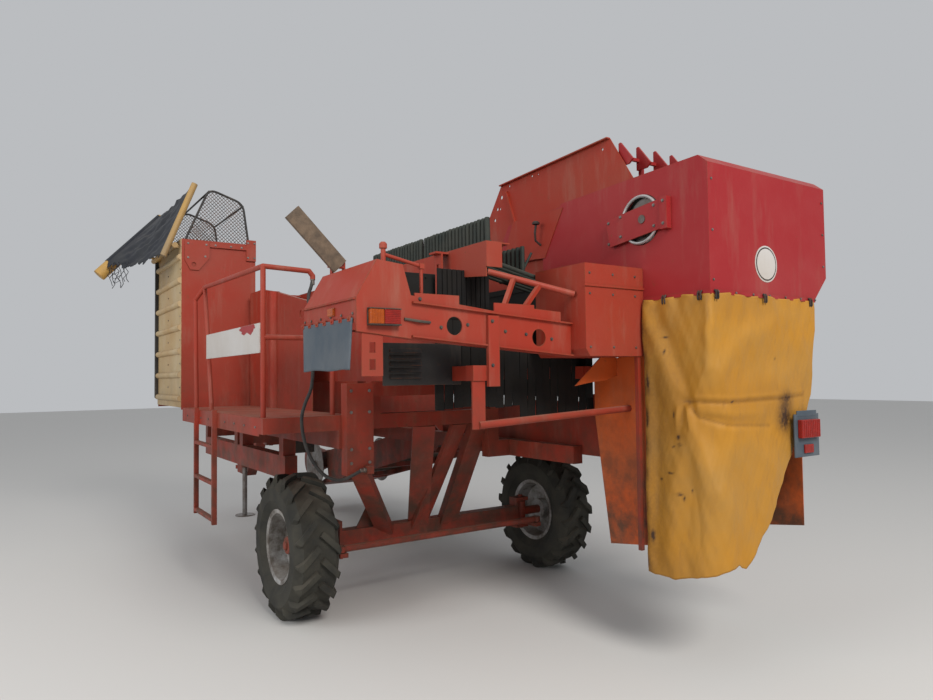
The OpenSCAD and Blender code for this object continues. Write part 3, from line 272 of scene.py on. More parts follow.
FLAP = plain("flap_rubber", (0.062, 0.082, 0.104), (0.11, 0.125, 0.14), 5, 0.6, dust=0.2)
TYRE = plain("tyre_rubber", (0.024, 0.024, 0.021), (0.060, 0.056, 0.044), 6, 0.85, dust=0.25)
CLOTH = cloth("curtain_cloth")
TARP = plain("tarp", (0.012, 0.014, 0.021), (0.030, 0.032, 0.036), 6, 0.5, dust=0.12)
STRIP_RUBBER = plain("strip_rubber", (0.007, 0.007, 0.007), (0.014, 0.012, 0.010), 9, 0.85, dust=0.1)
LENS = plain("lamp_lens", (0.30, 0.018, 0.012), (0.20, 0.014, 0.010), 30, 0.25, bump=0.1, dust=0.15)
WOOD = plain("plank_wood", (0.17, 0.12, 0.08), (0.085, 0.065, 0.048), 20, 0.75, dust=0.2)
BRIGHT = plain("bright_steel", (0.60, 0.60, 0.60), (0.40, 0.39, 0.37), 16, 0.38, 0.6, dust=0.15)
AMBER = plain("lamp_amber", (0.42, 0.085, 0.010), (0.30, 0.055, 0.009), 30, 0.25, bump=0.1, dust=0.1)
HOSE_RUBBER = plain("hose_rubber", (0.018, 0.018, 0.020), (0.05, 0.045, 0.04), 14, 0.55, dust=0.2)

SLOTS = {"red_paint": RED, "crimson_paint": CRIMSON, "orange_paint": ORANGE, "cream_paint": CREAM,
         "white_paint": WHITE, "rim_paint": SILVER, "black_paint": BLACK, "tan_paint": TAN,
         "bare_steel": STEEL, "web_steel": WEB, "gear_iron": IRON, "web_rubber": RUBBER,
         "flap_rubber": FLAP, "tyre": TYRE, "curtain_cloth": CLOTH, "tarp": TARP, "lamp_lens": LENS,
         "plank_wood": WOOD, "hose_rubber": HOSE_RUBBER}
for part in frame["record"]["subparts"]:
    node = frame["nodes"][part["node"]]
    node.data.materials.clear()
    node.data.materials.append(SLOTS[part["material_slot"]])


# Mesh helpers
def piece(name, verts, faces, material, body, smooth=False):
    """A mesh piece that rides on a body."""
    mesh = bpy.data.meshes.new(name)
    mesh.from_pydata([tuple(v) for v in verts], [], faces)
    mesh.update()
    made = bmesh.new()
    made.from_mesh(mesh)
    bmesh.ops.recalc_face_normals(made, faces=made.faces)
    made.to_mesh(mesh)
    made.free()
    mesh.materials.append(material)
    for polygon in mesh.polygons:
        polygon.use_smooth = smooth
    thing = bpy.data.objects.new(name, mesh)
    scene.collection.objects.link(thing)
    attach(thing, body)
    return thing


def on_circle(side, other, k, count):
    """The k-th of count directions round the circle that two directions span."""
    turn = 2 * math.pi * k / count
    return side * math.cos(turn) + other * math.sin(turn)


class Build:
    """Collects many small forms into one mesh. Places and sizes are in millimetres, but the points that add
    and loft take are in the model's frame."""

    def __init__(self):
        self.verts, self.faces = [], []

    def add(self, verts, faces):
        start = len(self.verts)
        self.verts += [Vector(v) for v in verts]
        self.faces += [tuple(start + i for i in face) for face in faces]

    def block(self, low, high, bevel):
        """A box between two corners, with its edges rounded."""
        (x0, y0, z0), (x1, y1, z1) = at(*low), at(*high)
        made = bmesh.new()
        bmesh.ops.create_cube(made, size=1.0)
        for v in made.verts:
            v.co = Vector(((x0 + x1) / 2 + v.co.x * (x1 - x0), (y0 + y1) / 2 + v.co.y * (y1 - y0),
                           (z0 + z1) / 2 + v.co.z * (z1 - z0)))
        bmesh.ops.bevel(made, geom=made.edges[:], offset=bevel / 1000, segments=2, affect="EDGES",
                        profile=0.5)
        made.verts.index_update()
        self.add([v.co.copy() for v in made.verts], [[v.index for v in f.verts] for f in made.faces])
        made.free()

    def blocks(self, low, high, step, count, bevel):
        """The same block again and again, each one moved on by a step."""
        low, high, step = Vector(low), Vector(high), Vector(step)
        for k in range(count):
            self.block(low + step * k, high + step * k, bevel)

    def loft(self, rings, closed=False):
        """A form through rings of points; a closed one joins its last ring to its first."""
        count = len(rings[0])
        faces = []
        for i in range(len(rings) if closed else len(rings) - 1):
            near, far = i * count, (i + 1) % len(rings) * count
            for k in range(count):
                m = (k + 1) % count
                faces.append((near + k, near + m, far + m, far + k))
        if not closed:
            faces.append(tuple(range(count - 1, -1, -1)))
            faces.append(tuple(range((len(rings) - 1) * count, len(rings) * count)))
        self.add([v for ring in rings for v in ring], faces)

    def disc(self, centre, normal, profile, sides):
        """A turned form: profile lists (radius, height) along the normal."""
        normal = Vector(normal).normalized()
        side = normal.orthogonal().normalized()
        other = normal.cross(side)
        centre = at(*centre)
        self.loft([[centre + normal * height / 1000 + on_circle(side, other, k, sides) * radius / 1000
                    for k in range(sides)] for radius, height in profile])

    def bolt(self, centre, normal, size):
        """A hexagon head on its washer."""
        self.disc(centre, normal, [(size * 1.25, -1), (size * 1.25, 1.5)], 12)
        self.disc(centre, normal, [(size, 1), (size, size * 0.8), (size * 0.8, size)], 6)

    def bolts(self, centres, normal, size):
        """Bolts of one size at several places on a face."""
        for centre in centres:
            self.bolt(centre, normal, size)

    def tube(self, points, radius, sides, closed=False):
        """A round bar along points."""
        path = [at(*p) for p in points]
        last = len(path) - 1
        side, rings = None, []
        for i, here in enumerate(path):
            ahead = path[(i + 1) % len(path)] if closed or i < last else here
            back = path[i - 1] if closed or i > 0 else here
            heading = (ahead - back).normalized()
            if side is None:
                side = heading.orthogonal().normalized()
            side = (side - heading * side.dot(heading)).normalized()
            other = heading.cross(side)
            rings.append([here + on_circle(side, other, k, sides) * radius / 1000 for k in range(sides)])
        self.loft(rings, closed)

    def done(self, name, material, body, smooth=False):
        return piece(name, self.verts, self.faces, material, body, smooth)


def sheet_mesh(rows, thickness):
    """A closed thin sheet from a grid of points, thickened along its normals, and the grid's area."""
    nu, nv = len(rows), len(rows[0])
    normals = []
    for i in range(nu):
        for j in range(nv):
            a = rows[min(i + 1, nu - 1)][j] - rows[max(i - 1, 0)][j]
            b = rows[i][min(j + 1, nv - 1)] - rows[i][max(j - 1, 0)]
            n = a.cross(b)
            normals.append(n.normalized() if n.length > 1e-9 else Vector((0, 0, 1)))
    grid = [v for row in rows for v in row]
    verts = [v + n * thickness * side for side in (0.5, -0.5) for v, n in zip(grid, normals)]
    faces, area = [], 0.0
    half = nu * nv
    for i in range(nu - 1):
        for j in range(nv - 1):
            a, b, c, d = i * nv + j, (i + 1) * nv + j, (i + 1) * nv + j + 1, i * nv + j + 1
            faces.append((a, b, c, d))
            faces.append((half + d, half + c, half + b, half + a))
            p, q, r, s = grid[a], grid[b], grid[c], grid[d]
            area += ((q - p).cross(r - p).length + (r - p).cross(s - p).length) / 2
    rim = [i * nv for i in range(nu)] + [(nu - 1) * nv + j for j in range(1, nv)]
    rim += [i * nv + nv - 1 for i in range(nu - 2, -1, -1)] + list(range(nv - 2, 0, -1))
    for a, b in zip(rim, rim[1:] + rim[:1]):
        faces.append((a, half + a, half + b, b))
    return verts, faces, area


def sheet_piece(name, rows, thickness, material, body):
    """A sheet as a smooth piece, and its area in square metres."""
    verts, faces, area = sheet_mesh(rows, thickness)
    return piece(name, verts, faces, material, body, smooth=True), area


def wave(a, b):
    """A repeatable uneven wave between about -1 and 1."""
    return (math.sin(a * 2.3 + 1.7 * math.sin(b * 1.9 + 0.4)) + 0.6 * math.sin(a * 5.1 + b * 3.3 + 1.1)
            + 0.35 * math.sin(a * 9.7 - b * 6.1 + 2.6)) / 1.6


# The hose from the rail to the leg
HOSE = [(-1135, -380, 2300), (-1148, -386, 2250), (-1180, -425, 2190), (-1210, -500, 2120),
        (-1230, -560, 2040), (-1238, -600, 1950), (-1232, -600, 1830), (-1222, -600, 1700),
        (-1234, -600, 1580), (-1272, -600, 1490), (-1296, -600, 1390), (-1276, -600, 1250),
        (-1220, -600, 1120), (-1140, -600, 1030), (-1040, -600, 995), (-950, -600, 1020),
        (-900, -600, 1042), (-860, -600, 1045)]
HOSE_RADIUS = 11
HOSE_STEPS = 4


def smooth_path(points, steps):
    """Points of a smooth curve through the given ones."""
    path = []
    for i in range(len(points) - 1):
        a, b = Vector(points[max(i - 1, 0)]), Vector(points[i])
        c, d = Vector(points[i + 1]), Vector(points[min(i + 2, len(points) - 1)])
        for k in range(steps):
            t = k / steps
            path.append(0.5 * (2 * b + (c - a) * t + (2 * a - 5 * b + 4 * c - d) * t * t
                               + (3 * b - a - 3 * c + d) * t ** 3))
    path.append(Vector(points[-1]))
    return path


def make_hose():
    hose_path = smooth_path(HOSE, HOSE_STEPS)
    hose = Build()
    hose.tube(hose_path, HOSE_RADIUS, 12)
    hose_piece = hose.done("hose_to_leg", HOSE_RUBBER, "chassis", smooth=True)
    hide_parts("hose")
    fittings = Build()
    fittings.disc((-1135, -380, 2312), DOWN, [(14, 0), (16, 3), (16, 18), (13, 21), (13, 46), (12, 50)], 16)
    fittings.disc((-858, -600, 1045), LEFT, [(16, 0), (17, 3), (17, 20), (13, 23), (13, 44), (12, 48)], 16)
    hose_ends = fittings.done("hose_fittings", STEEL, "chassis")


# Curtain. Places on it: metres along it from its front end, and height above the ground.
# It hangs on the elevator housing's side, turns the corner at CORNER_S and runs along the rear wall.
CURTAIN_WIDTH = 1.452
CORNER_S = 0.465
CURTAIN_SIDE, CURTAIN_FRONT, CURTAIN_REAR = 300, -1945, -2410
CURTAIN_COLUMNS, CURTAIN_ROWS = 160, 150
CURTAIN_HEAD = 2.084
CURTAIN_FOOT = [(0, 0.50), (0.20, 0.505), (0.356, 0.537), (0.56, 0.585), (0.652, 0.602), (0.675, 0.585),
                (0.717, 0.576), (0.936, 0.816), (1.193, 1.22), (1.30, 1.36), (1.382, 1.514), (1.42, 1.80),
                (1.452, 2.03)]
# How round the corner is at a height, in metres
CORNER_TURN = [(0.5, 0.17), (1.40, 0.16), (1.52, 0.13), (1.67, 0.06), (1.9, 0.03), (2.07, 0.02)]
# Folds: line on the cloth, height in millimetres, half width in metres on its left and right
FOLDS = [([(0.0, 2.05), (0.106, 1.841), (0.207, 1.616), (0.285, 1.50)], 26, 0.11, 0.035),
         ([(0.05, 1.98), (0.16, 1.82), (0.25, 1.62), (0.30, 1.51)], -14, 0.03, 0.08),
         ([(0.445, 2.05), (0.444, 1.671), (0.347, 1.53)], 10, 0.03, 0.03),
         ([(0.50, 1.92), (0.49, 1.68), (0.38, 1.53)], -9, 0.03, 0.06),
         ([(0.29, 1.515), (0.587, 1.505), (1.102, 1.515), (1.30, 1.53)], 9, 0.022, 0.012),
         ([(0.276, 1.492), (0.587, 1.484), (1.102, 1.495), (1.30, 1.51)], -13, 0.010, 0.020),
         ([(0.305, 1.476), (0.382, 1.405), (0.581, 1.364), (0.962, 1.345)], -11, 0.016, 0.040),
         ([(0.32, 1.46), (0.42, 1.435), (0.60, 1.42), (0.90, 1.42)], 8, 0.025, 0.030),
         ([(0.238, 1.45), (0.232, 1.333)], 13, 0.012, 0.012),
         ([(0.268, 1.46), (0.272, 1.36)], -12, 0.010, 0.012),
         ([(0.305, 1.46), (0.325, 1.339)], 12, 0.012, 0.014),
         ([(0.345, 1.45), (0.375, 1.30)], -8, 0.014, 0.02),
         ([(0.33, 1.40), (0.466, 1.03), (0.661, 0.802)], 22, 0.07, 0.05),
         ([(0.42, 1.36), (0.56, 1.10), (0.78, 0.93)], -13, 0.05, 0.07),
         ([(0.278, 1.30), (0.20, 0.95), (0.15, 0.50)], 22, 0.08, 0.07),
         ([(0.30, 1.25), (0.34, 0.90), (0.38, 0.53)], -14, 0.05, 0.05),
         ([(0.36, 1.52), (0.707, 1.827), (1.172, 1.977)], 15, 0.08, 0.06),
         ([(0.60, 1.62), (0.90, 1.70), (1.30, 1.72)], -9, 0.08, 0.08),
         ([(0.75, 1.30), (0.95, 1.12), (1.05, 1.03)], 12, 0.06, 0.05),
         ([(0.03, 1.75), (0.02, 1.20), (0.03, 0.55)], 12, 0.03, 0.03),
         ([(0.09, 1.70), (0.08, 1.10), (0.06, 0.60)], -9, 0.03, 0.04)]
# Two creases darkened along their lines as painted shade
SHADED_FOLDS = FOLDS[5:7]
# The gather: where the cloth is drawn in, how deep in millimetres, and how far that spreads in square metres
GATHER_S, GATHER_H, GATHER_DEPTH, GATHER_SPREAD = 0.30, 1.497, 16, 0.0020
# Heights in metres: below the first the cloth hangs loose, and at the second it is clamped in small pleats
LOOSE_BELOW, CLAMPED_AT = 1.25, 2.066
# Soot behind the lamp: place on the cloth, half width and half height in metres, and strength
SOOT = [(1.10, 1.385, 0.065, 0.085, 0.95), (1.13, 1.50, 0.05, 0.04, 0.5)]
# Specks of dirt: place on the cloth, half width and half height in metres
SPECKS = [(0.150, 1.855, 0.016, 0.004), (0.152, 1.770, 0.004, 0.014), (0.239, 1.292, 0.012, 0.012),
          (0.248, 1.251, 0.014, 0.006), (0.205, 1.235, 0.010, 0.004), (0.240, 0.977, 0.016, 0.006),
          (0.262, 0.955, 0.006, 0.012), (0.104, 1.045, 0.008, 0.006), (0.311, 1.003, 0.006, 0.008),
          (1.033, 1.724, 0.007, 0.005), (0.211, 1.415, 0.006, 0.016), (0.18, 1.09, 0.02, 0.004),
          (0.62, 1.49, 0.010, 0.004), (0.045, 0.72, 0.010, 0.03), (0.03, 1.60, 0.006, 0.05),
          (0.02, 1.38, 0.006, 0.04)]
# Clips: place on the housing and the way they face; their hook as distance out from it and height
CLIPS = [(300, -2100, LEFT), (300, -2345, LEFT), (335, CLAMP_BACK, BACK), (770, CLAMP_BACK, BACK),
         (1230, CLAMP_BACK, BACK)]
CLIP_HOOK = [(4, 2092), (13, 2080), (13, 2050), (9, 2042)]


def value_at(points, place):
    """Value of a polyline of (place, value) at a place."""
    for (s0, v0), (s1, v1) in zip(points, points[1:]):
        if place <= s1:
            return v0 + (v1 - v0) * max(0.0, place - s0) / (s1 - s0)
    return points[-1][1]


def near_line(points, s, h):
    """Signed distance from a line on the cloth, and how far along it the nearest place is, from 0 to 1."""
    best, share, side = 1e9, 0.0, 1.0
    total = sum(math.dist(a, b) for a, b in zip(points, points[1:]))
    gone = 0.0
    for a, b in zip(points, points[1:]):
        run = math.dist(a, b)
        ux, uz = (b[0] - a[0]) / run, (b[1] - a[1]) / run
        t = min(run, max(0.0, (s - a[0]) * ux + (h - a[1]) * uz))
        far = math.hypot(s - a[0] - ux * t, h - a[1] - uz * t)
        if far < best:
            best, share = far, (gone + t) / total
            side = 1.0 if (s - a[0]) * uz - (h - a[1]) * ux < 0 else -1.0
        gone += run
    return best * side, share


def fold_height(s, h):
    """How far the cloth stands out from its flat place, in millimetres."""
    out = 4.0 * wave(s * 6, h * 4) + 2.2 * wave(s * 17 + 3, h * 11)
    for points, height, left, right in FOLDS:
        far, share = near_line(points, s, h)
        half = left if far < 0 else right
        if abs(far) < 3 * half:
            fade = 0.35 + 0.65 * math.sin(math.pi * min(1, share * 0.92 + 0.06))
            out += height * math.exp(-(far / half) ** 2) * fade
    out -= GATHER_DEPTH * math.exp(-((s - GATHER_S) ** 2 + (h - GATHER_H) ** 2) / GATHER_SPREAD)
    loose = max(0.0, min(1.0, (LOOSE_BELOW - h) / 0.6))
    out += loose * (9 * math.sin(s * 15 + 0.6) + 4 * math.sin(s * 33 + 2 * h))
    clamped = max(0.0, 1 - (CLAMPED_AT - h) / 0.16)
    out += clamped * 6 * math.sin(s * 46)
    return out


def curtain_point(s, h):
    """Place of the cloth at a place along it and a height; its corner grows rounder downwards."""
    turn = value_at(CORNER_TURN, h) * 1000
    run = s * 1000
    corner = CORNER_S * 1000
    start, end = corner - turn, corner + turn
    out = max(4 + fold_height(s, h), -9)
    if run <= start:
        x, y, n = CURTAIN_SIDE, CURTAIN_FRONT - run, (-1, 0)
    elif run >= end:
        x, y, n = CURTAIN_SIDE + run - corner, CURTAIN_REAR, (0, -1)
    else:
        a = math.pi / 2 * (run - start) / (end - start)
        n = (-math.cos(a), -math.sin(a))
        x, y = CURTAIN_SIDE + turn + turn * n[0], CURTAIN_REAR + turn + turn * n[1]
    return at(x + n[0] * out, y + n[1] * out, h * 1000)


def stain_and_shade_at(s, h):
    """Grime and painted shade on the cloth from 0 to 1: soot behind the lamp, specks, a darker strip along
    the front edge, painted shade over the side face and in two creases.
    """
    dirt_and_shade = 0.0
    for place, height, wide, tall, strength in SOOT:
        dirt_and_shade += strength * math.exp(-(((s - place) / wide) ** 2 + ((h - height) / tall) ** 2))
    for place, height, wide, tall in SPECKS:
        far = ((s - place) / wide) ** 2 + ((h - height) / tall) ** 2
        if far < 9:
            dirt_and_shade += 0.95 * math.exp(-far)
    # A darker strip along the front edge
    dirt_and_shade += 0.35 * math.exp(-(s / 0.03) ** 2) * (0.6 + 0.4 * math.sin(h * 37))
    # Painted shade: the side face darker towards its front end, fading near the top
    dirt_and_shade += 0.25 * max(0.0, 1 - s / 0.33) * (1 if h < 1.9 else max(0.0, (2.06 - h) / 0.16))
    # Painted shade along the two creases
    for fold in SHADED_FOLDS:
        dirt_and_shade += 0.28 * math.exp(-(near_line(fold[0], s, h)[0] / 0.008) ** 2)
    return min(1.0, dirt_and_shade)


def make_curtain():
    rows, stains_and_shade = [], []
    for i in range(CURTAIN_COLUMNS + 1):
        s = CURTAIN_WIDTH * i / CURTAIN_COLUMNS
        foot = value_at(CURTAIN_FOOT, s) + 0.004 * wave(s * 9, 0.3)
        head = CURTAIN_HEAD - 0.011 * abs(math.sin(s * 9.5 + 0.4))
        heights = [head + (foot - head) * j / CURTAIN_ROWS for j in range(CURTAIN_ROWS + 1)]
        rows.append([curtain_point(s, h) for h in heights])
        # Grime and painted shade at each point of the cloth
        stains_and_shade += [stain_and_shade_at(s, h) for h in heights]
    curtain, cut = sheet_piece("curtain_cloth", rows, 0.002, CLOTH, "chassis")
    attribute = curtain.data.attributes.new("stain_and_shade", "FLOAT", "POINT")
    attribute.data.foreach_set("value", stains_and_shade + stains_and_shade)
    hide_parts("curtain")


def make_curtain_clips():
    clips = Build()
    for x, y, n in CLIPS:
        for s in (-9, 9):
            hook_x, hook_y = x + s * abs(n[1]), y + s * abs(n[0])
            clips.tube([(hook_x + n[0] * out, hook_y + n[1] * out, z) for out, z in CLIP_HOOK], 5.5, 8)
        clips.bolt((x + n[0] * 12, y + n[1] * 12, CLAMP_Z), n, 6)
    clips.done("curtain_clips", BLACK, "chassis")


# Fall breaker's cloth, stretched from the rear pole to the front pole and wrapped round the front one
REAR_FOOT, REAR_HEAD = Vector((-1640, 1945, 2770)), Vector((-1370, 1945, 3460))
POLE_LEAN = math.radians(47)
FRONT_FOOT = Vector((-2100 + 60 * math.sin(POLE_LEAN), 2880, 2680))
FRONT_ALONG = Vector((math.cos(POLE_LEAN), 0, math.sin(POLE_LEAN)))
FRONT_OUT = Vector((-math.sin(POLE_LEAN), 0, math.cos(POLE_LEAN)))
POLE_WRAP = 63.5
TARP_COLUMNS, TARP_ROWS, WRAP_ROWS = 54, 60, 16


def round_front_pole(along_pole, turn):
    """A place on the front pole's surface; 0 degrees faces the rear pole, 90 degrees faces up and out."""
    turn = math.radians(turn)
    around = Vector((0, -math.cos(turn), 0)) + FRONT_OUT * math.sin(turn)
    return FRONT_FOOT + FRONT_ALONG * along_pole + around * POLE_WRAP


def tarp_column(u):
    """Places across the cloth, at a share of its way from the poles' feet to their heads."""
    start = REAR_FOOT.lerp(REAR_HEAD, 0.05 + 0.90 * u) + Vector((-14, 31, 6))
    reach = 150 + 690 * u
    end = round_front_pole(reach, 35)
    ragged = max(0, 3 - round(u * TARP_COLUMNS))
    column = []
    for j in range(TARP_ROWS + 1):
        v = j / TARP_ROWS
        p = start.lerp(end, v)
        sag = math.sin(math.pi * v)
        p.z -= 60 * sag * (1.15 - 0.8 * u)
        lift = 12 * wave(u * 6 + v * 2, v * 7) * sag + 7 * math.sin(u * 24 + 5 * v) * (0.15 + sag) * sag
        p += Vector((-0.7, 0, 0.7)) * lift
        if ragged:
            drop = 5 + 14 * max(0, wave(v * 9, 0.2)) + 5 * wave(v * 31, 0.7)
            p += Vector((-0.5, 0, -0.86)) * ragged * drop
        column.append(at(*p))
    for j in range(1, WRAP_ROWS + 1):
        column.append(at(*round_front_pole(reach + 5 * wave(u * 9, j * 0.4), 35 + 10 * j)))
    return column


def make_tarp():
    rows = [tarp_column(i / TARP_COLUMNS) for i in range(TARP_COLUMNS + 1)]
    tarp, cut = sheet_piece("breaker_tarp", rows, 0.003, TARP, "unloader")
    shreds = Build()
    for k in range(9):
        start = Vector((-1976 + 15 * k, 2820 - 37 * k, 2806 - 3 * k))
        fall = 150 + 110 * abs(math.sin(k * 2.3))
        sway = [(14 * math.sin(k * 1.7 + t * 2.2), 12 * math.cos(k + t * 1.4), -fall * t / 6)
                for t in range(7)]
        shreds.tube([start + Vector(moved) for moved in sway], 3.4, 5)
    for k in range(4):
        low = 2745 - 45 * k
        shreds.tube([(-1968 + 6 * k, 2800 - 22 * k, low), (-1940, 2740 - 10 * k, low - 22),
                     (-1905 + 3 * k, 2650, low + 6)], 2.6, 5)
    shred_piece = shreds.done("tarp_shreds", TARP, "unloader")
    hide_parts("breaker_cloth")


# Mesh guards of the unloading section: their outline as (X, Z), and the Y of the planes they stand in
GUARD = [(-1475, 2890), (-1250, 3420), (-940, 3320), (-880, 2890)]
GUARD_PLANES = (1906.3, 2973.7)
GUARD_CORNER = 75
MESH_CELL = 34


def rounded(points, radius):
    """A closed outline with rounded corners."""
    path, steps = [], 6
    for i, here in enumerate(points):
        here, before, after = Vector(here), Vector(points[i - 1]), Vector(points[(i + 1) % len(points)])
        a, b = here + (before - here).normalized() * radius, here + (after - here).normalized() * radius
        for k in range(steps + 1):
            t = k / steps
            path.append(((1 - t) ** 2) * a + 2 * t * (1 - t) * here + t * t * b)
    return path


def inside(outline, x, z):
    """Whether a place lies within an outline."""
    hit = False
    for a, b in zip(outline, outline[1:] + outline[:1]):
        if (a[1] > z) != (b[1] > z) and x < (b[0] - a[0]) * (z - a[1]) / (b[1] - a[1]) + a[0]:
            hit = not hit
    return hit


def mesh_strands(outline):
    """The ends of each strand of the wire mesh that lies within the outline."""
    rise = MESH_CELL * 0.55 * 0.9
    strands, row, z = [], 0, GUARD[0][1]
    while z < GUARD[1][1]:
        x = GUARD[0][0] + (row % 2) * MESH_CELL / 2
        while x < GUARD[3][0]:
            ends = [(x, z), (x + MESH_CELL * 0.30, z + rise), (x + MESH_CELL * 0.70, z + rise),
                    (x + MESH_CELL, z)]
            strands += [(a, b) for a, b in zip(ends, ends[1:]) if inside(outline, *a) and inside(outline, *b)]
            x += MESH_CELL
        row += 1
        z += rise
    return strands


def make_guards():
    outline = rounded(GUARD, GUARD_CORNER)
    strands = mesh_strands(outline)
    frames, mesh_wires = Build(), Build()
    for y in GUARD_PLANES:
        frames.tube([(x, y, z) for x, z in outline], 10.3, 10, closed=True)
        for (x0, z0), (x1, z1) in strands:
            mesh_wires.tube([(x0, y, z0), (x1, y, z1)], 3.0, 4)
    for (x, z), drop in ((GUARD[1], 22), (GUARD[2], 26)):
        frames.tube([(x, y, z - drop) for y in GUARD_PLANES], 9, 10)
    guard_frames = frames.done("guard_frames", BLACK, "unloader", smooth=True)
    mesh_wires.done("guard_mesh", BLACK, "unloader")
    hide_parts("unload_guard")


def make_panel_edge():
    edge = Build()
    edge.block((-1531, 2945, 1470), (-1494, 2988, 2905), 3)
    edge.done("panel_edges", BLACK, "unloader")


# Rubber behind the rear beam
APRON_LEFT, APRON_BACK, APRON_FRONT, APRON_TOP = -819, -1418, -1411, 2005
STRIPS, STRIP_STEP, STRIP_WIDTH, STRIP_RINGS = 20, 60, 57, 9


def make_strip_apron():
    strips = Build()
    for k in range(STRIPS):
        left = APRON_LEFT + STRIP_STEP * k
        right = left + STRIP_WIDTH
        foot = (1455 if k < 10 else 1365) + 14 * abs(math.sin(k * 2.7))
        rings = []
        for m in range(STRIP_RINGS):
            z = foot + (APRON_TOP - foot) * m / (STRIP_RINGS - 1)
            bow = 6 * math.sin(k * 1.9 + z * 0.009) * (APRON_TOP + 5 - z) / 500
            back, front = APRON_BACK + bow, APRON_FRONT + bow
            rings.append([at(left, back, z), at(right, back, z), at(right, front, z), at(left, front, z)])
        strips.loft(rings)
    strips.block((-822, -1424, 1975), (380, -1418, 2015), 1)
    strips.done("strip_apron", STRIP_RUBBER, "chassis")


def make_web_side_rubber():
    seal = Build()
    seal.blocks((317, -1480, 1500), (324, -1188, 2296), (0, 296, 0), 11, 2)
    seal.block((312, -1480, 2256), (317, 1776, 2296), 1)
    seal.done("web_side_rubber", STRIP_RUBBER, "chassis")


def make_hood_side_rubber():
    plate = Build()
    plate.block((-1150, -1336, 1900), (-764, -1329, 2236), 2)
    plate.bolts([(-1090 + 130 * k, -1336, 2215) for k in range(3)], BACK, 7)
    plate.done("hood_side_rubber", STRIP_RUBBER, "chassis")


def make_panel_smear():
    """A red smear on the rail's pale panel."""
    panel_x = (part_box("rail_panel")[0].x - SHIFT.x) * 1000
    outline = []
    for k in range(24):
        turn = math.pi * k / 12
        wide, tall = 165 + 36 * wave(k * 1.3, 0.5), 44 + 20 * wave(k * 2.1, 1.5)
        outline.append((-120 + wide * math.cos(turn), min(1999, 1984 + tall * math.sin(turn))))
    smear = Build()
    smear.loft([[at(panel_x + depth, y, z) for y, z in outline] for depth in (-0.6, 0.5)])
    smear.done("panel_smear", CRIMSON, "chassis")


# Black louvred sheet under the platform's rear: painted shade, a dark sheet where the space lies in shade,
# hiding the red parts behind
def make_louvred_shade_cover():
    cover = Build()
    cover.block((-1190, -1500, 1600), (-702, -1494, 1826), 2)
    for k in range(5):
        z = 1640 + 34 * k
        cover.loft([[at(x, -1500, z), at(x, -1514, z - 3), at(x, -1500, z + 20)] for x in (-1150, -960)])
    cover.done("louvred_shade_cover", BLACK, "chassis")


# Rubber flap of the hood, and the tabs that hold it
FLAP_COLUMNS, FLAP_ROWS = 40, 24


def flap_point(t, v):
    """Place of the flap at a share of its length and of its drop."""
    bow = 7 * math.sin(t * 8.5 + 0.8) * v + 4 * math.sin(t * 19) * v
    y = -1778 + (628 - 34 * v) * t + 17 * v
    return at(-1487 - bow * 0.9 - 3 * v, y, 1924 - 244 * v + 3 * math.sin(t * 11) * v)


def make_flap():
    rows = [[flap_point(i / FLAP_COLUMNS, j / FLAP_ROWS) for j in range(FLAP_ROWS + 1)]
            for i in range(FLAP_COLUMNS + 1)]
    flap = sheet_piece("rubber_flap", rows, 0.006, FLAP, "chassis")[0]
    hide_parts("hood_flap")
    tabs = Build()
    tabs.blocks((-1494, -1765, 1908), (-1486, -1731, 1934), (0, 100, 0), 7, 2)
    tabs.bolts([(-1494, -1748 + 100 * k, 1921) for k in range(7)], LEFT, 6)
    tabs.done("flap_tabs", RED, "chassis")


# Rubber fingers: where each comb starts and how many it has
COMBS = [(-1420, 3), (-1300, 16), (-640, 19)]
FINGER_STEP, FINGER_RADIUS, FINGER_X = 40, 16.5, -450
FINGER_TIP = [(16.5, 0), (15.5, 5), (12, 8.5), (6, 10)]


def make_fingers():
    fingers = Build()
    for start, count in COMBS:
        fingers.block((-468, start - 20, 2400.3), (-432, start + FINGER_STEP * (count - 1) + 20, 2450), 3)
        for i in range(count):
            y = start + FINGER_STEP * i
            lean = 5 * wave(start * 0.01 + i * 1.3, i)
            fingers.tube([(FINGER_X, y, 2440), (FINGER_X + lean * 0.3, y + lean * 0.2, 2500),
                          (FINGER_X + lean, y + lean * 0.5, 2582)], FINGER_RADIUS, 14)
            fingers.disc((FINGER_X + lean, y + lean * 0.5, 2580), UP, FINGER_TIP, 14)
    combs = fingers.done("rubber_fingers", RUBBER, "chassis")
    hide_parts("finger_combs")


# Lamps, reflectors and the sign
SIGN_X, SIGN_Z = 820, 2270


def make_left_lamp():
    lamp = Build()
    lamp.block((-1427, -1816, 1888), (-1258, -1808.5, 1972), 2)
    lamp.blocks((-1426, -1842, 1890), (-1259, -1812, 1895), (0, 0, 76), 2, 1)
    lamp.done("lamp_left_body", BLACK, "chassis")
    amber = Build()
    amber.block((-1423, -1839, 1895), (-1350, -1816, 1966), 3)
    amber.blocks((-1420, -1841, 1897), (-1416, -1838, 1964), (8, 0, 0), 9, 1)
    amber.done("lamp_left_amber", AMBER, "chassis")
    red_lens = Build()
    red_lens.block((-1348, -1839, 1895), (-1262, -1816, 1966), 3)
    red_lens.blocks((-1346, -1841, 1898), (-1264, -1838, 1902), (0, 0, 8.5), 8, 1)
    red_piece = red_lens.done("lamp_left_red", LENS, "chassis")
    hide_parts("lamp_left")


def make_right_lamp():
    plate = Build()
    plate.block((975, -2452, 1150), (1225, -2442, 1400), 3)
    plate.block((1000, -2454, 1385), (1200, -2446, 1420), 3)
    plate.done("lamp_right_plate", FLAP, "chassis")
    dark = Build()
    dark.block((1004, -2480, 1262), (1196, -2452, 1368), 4)
    dark.blocks((1008, -2482, 1266), (1013, -2479, 1364), (19, 0, 0), 10, 1)
    dark_piece = dark.done("lamp_right_lens", LENS, "chassis")
    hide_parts("lamp_right")


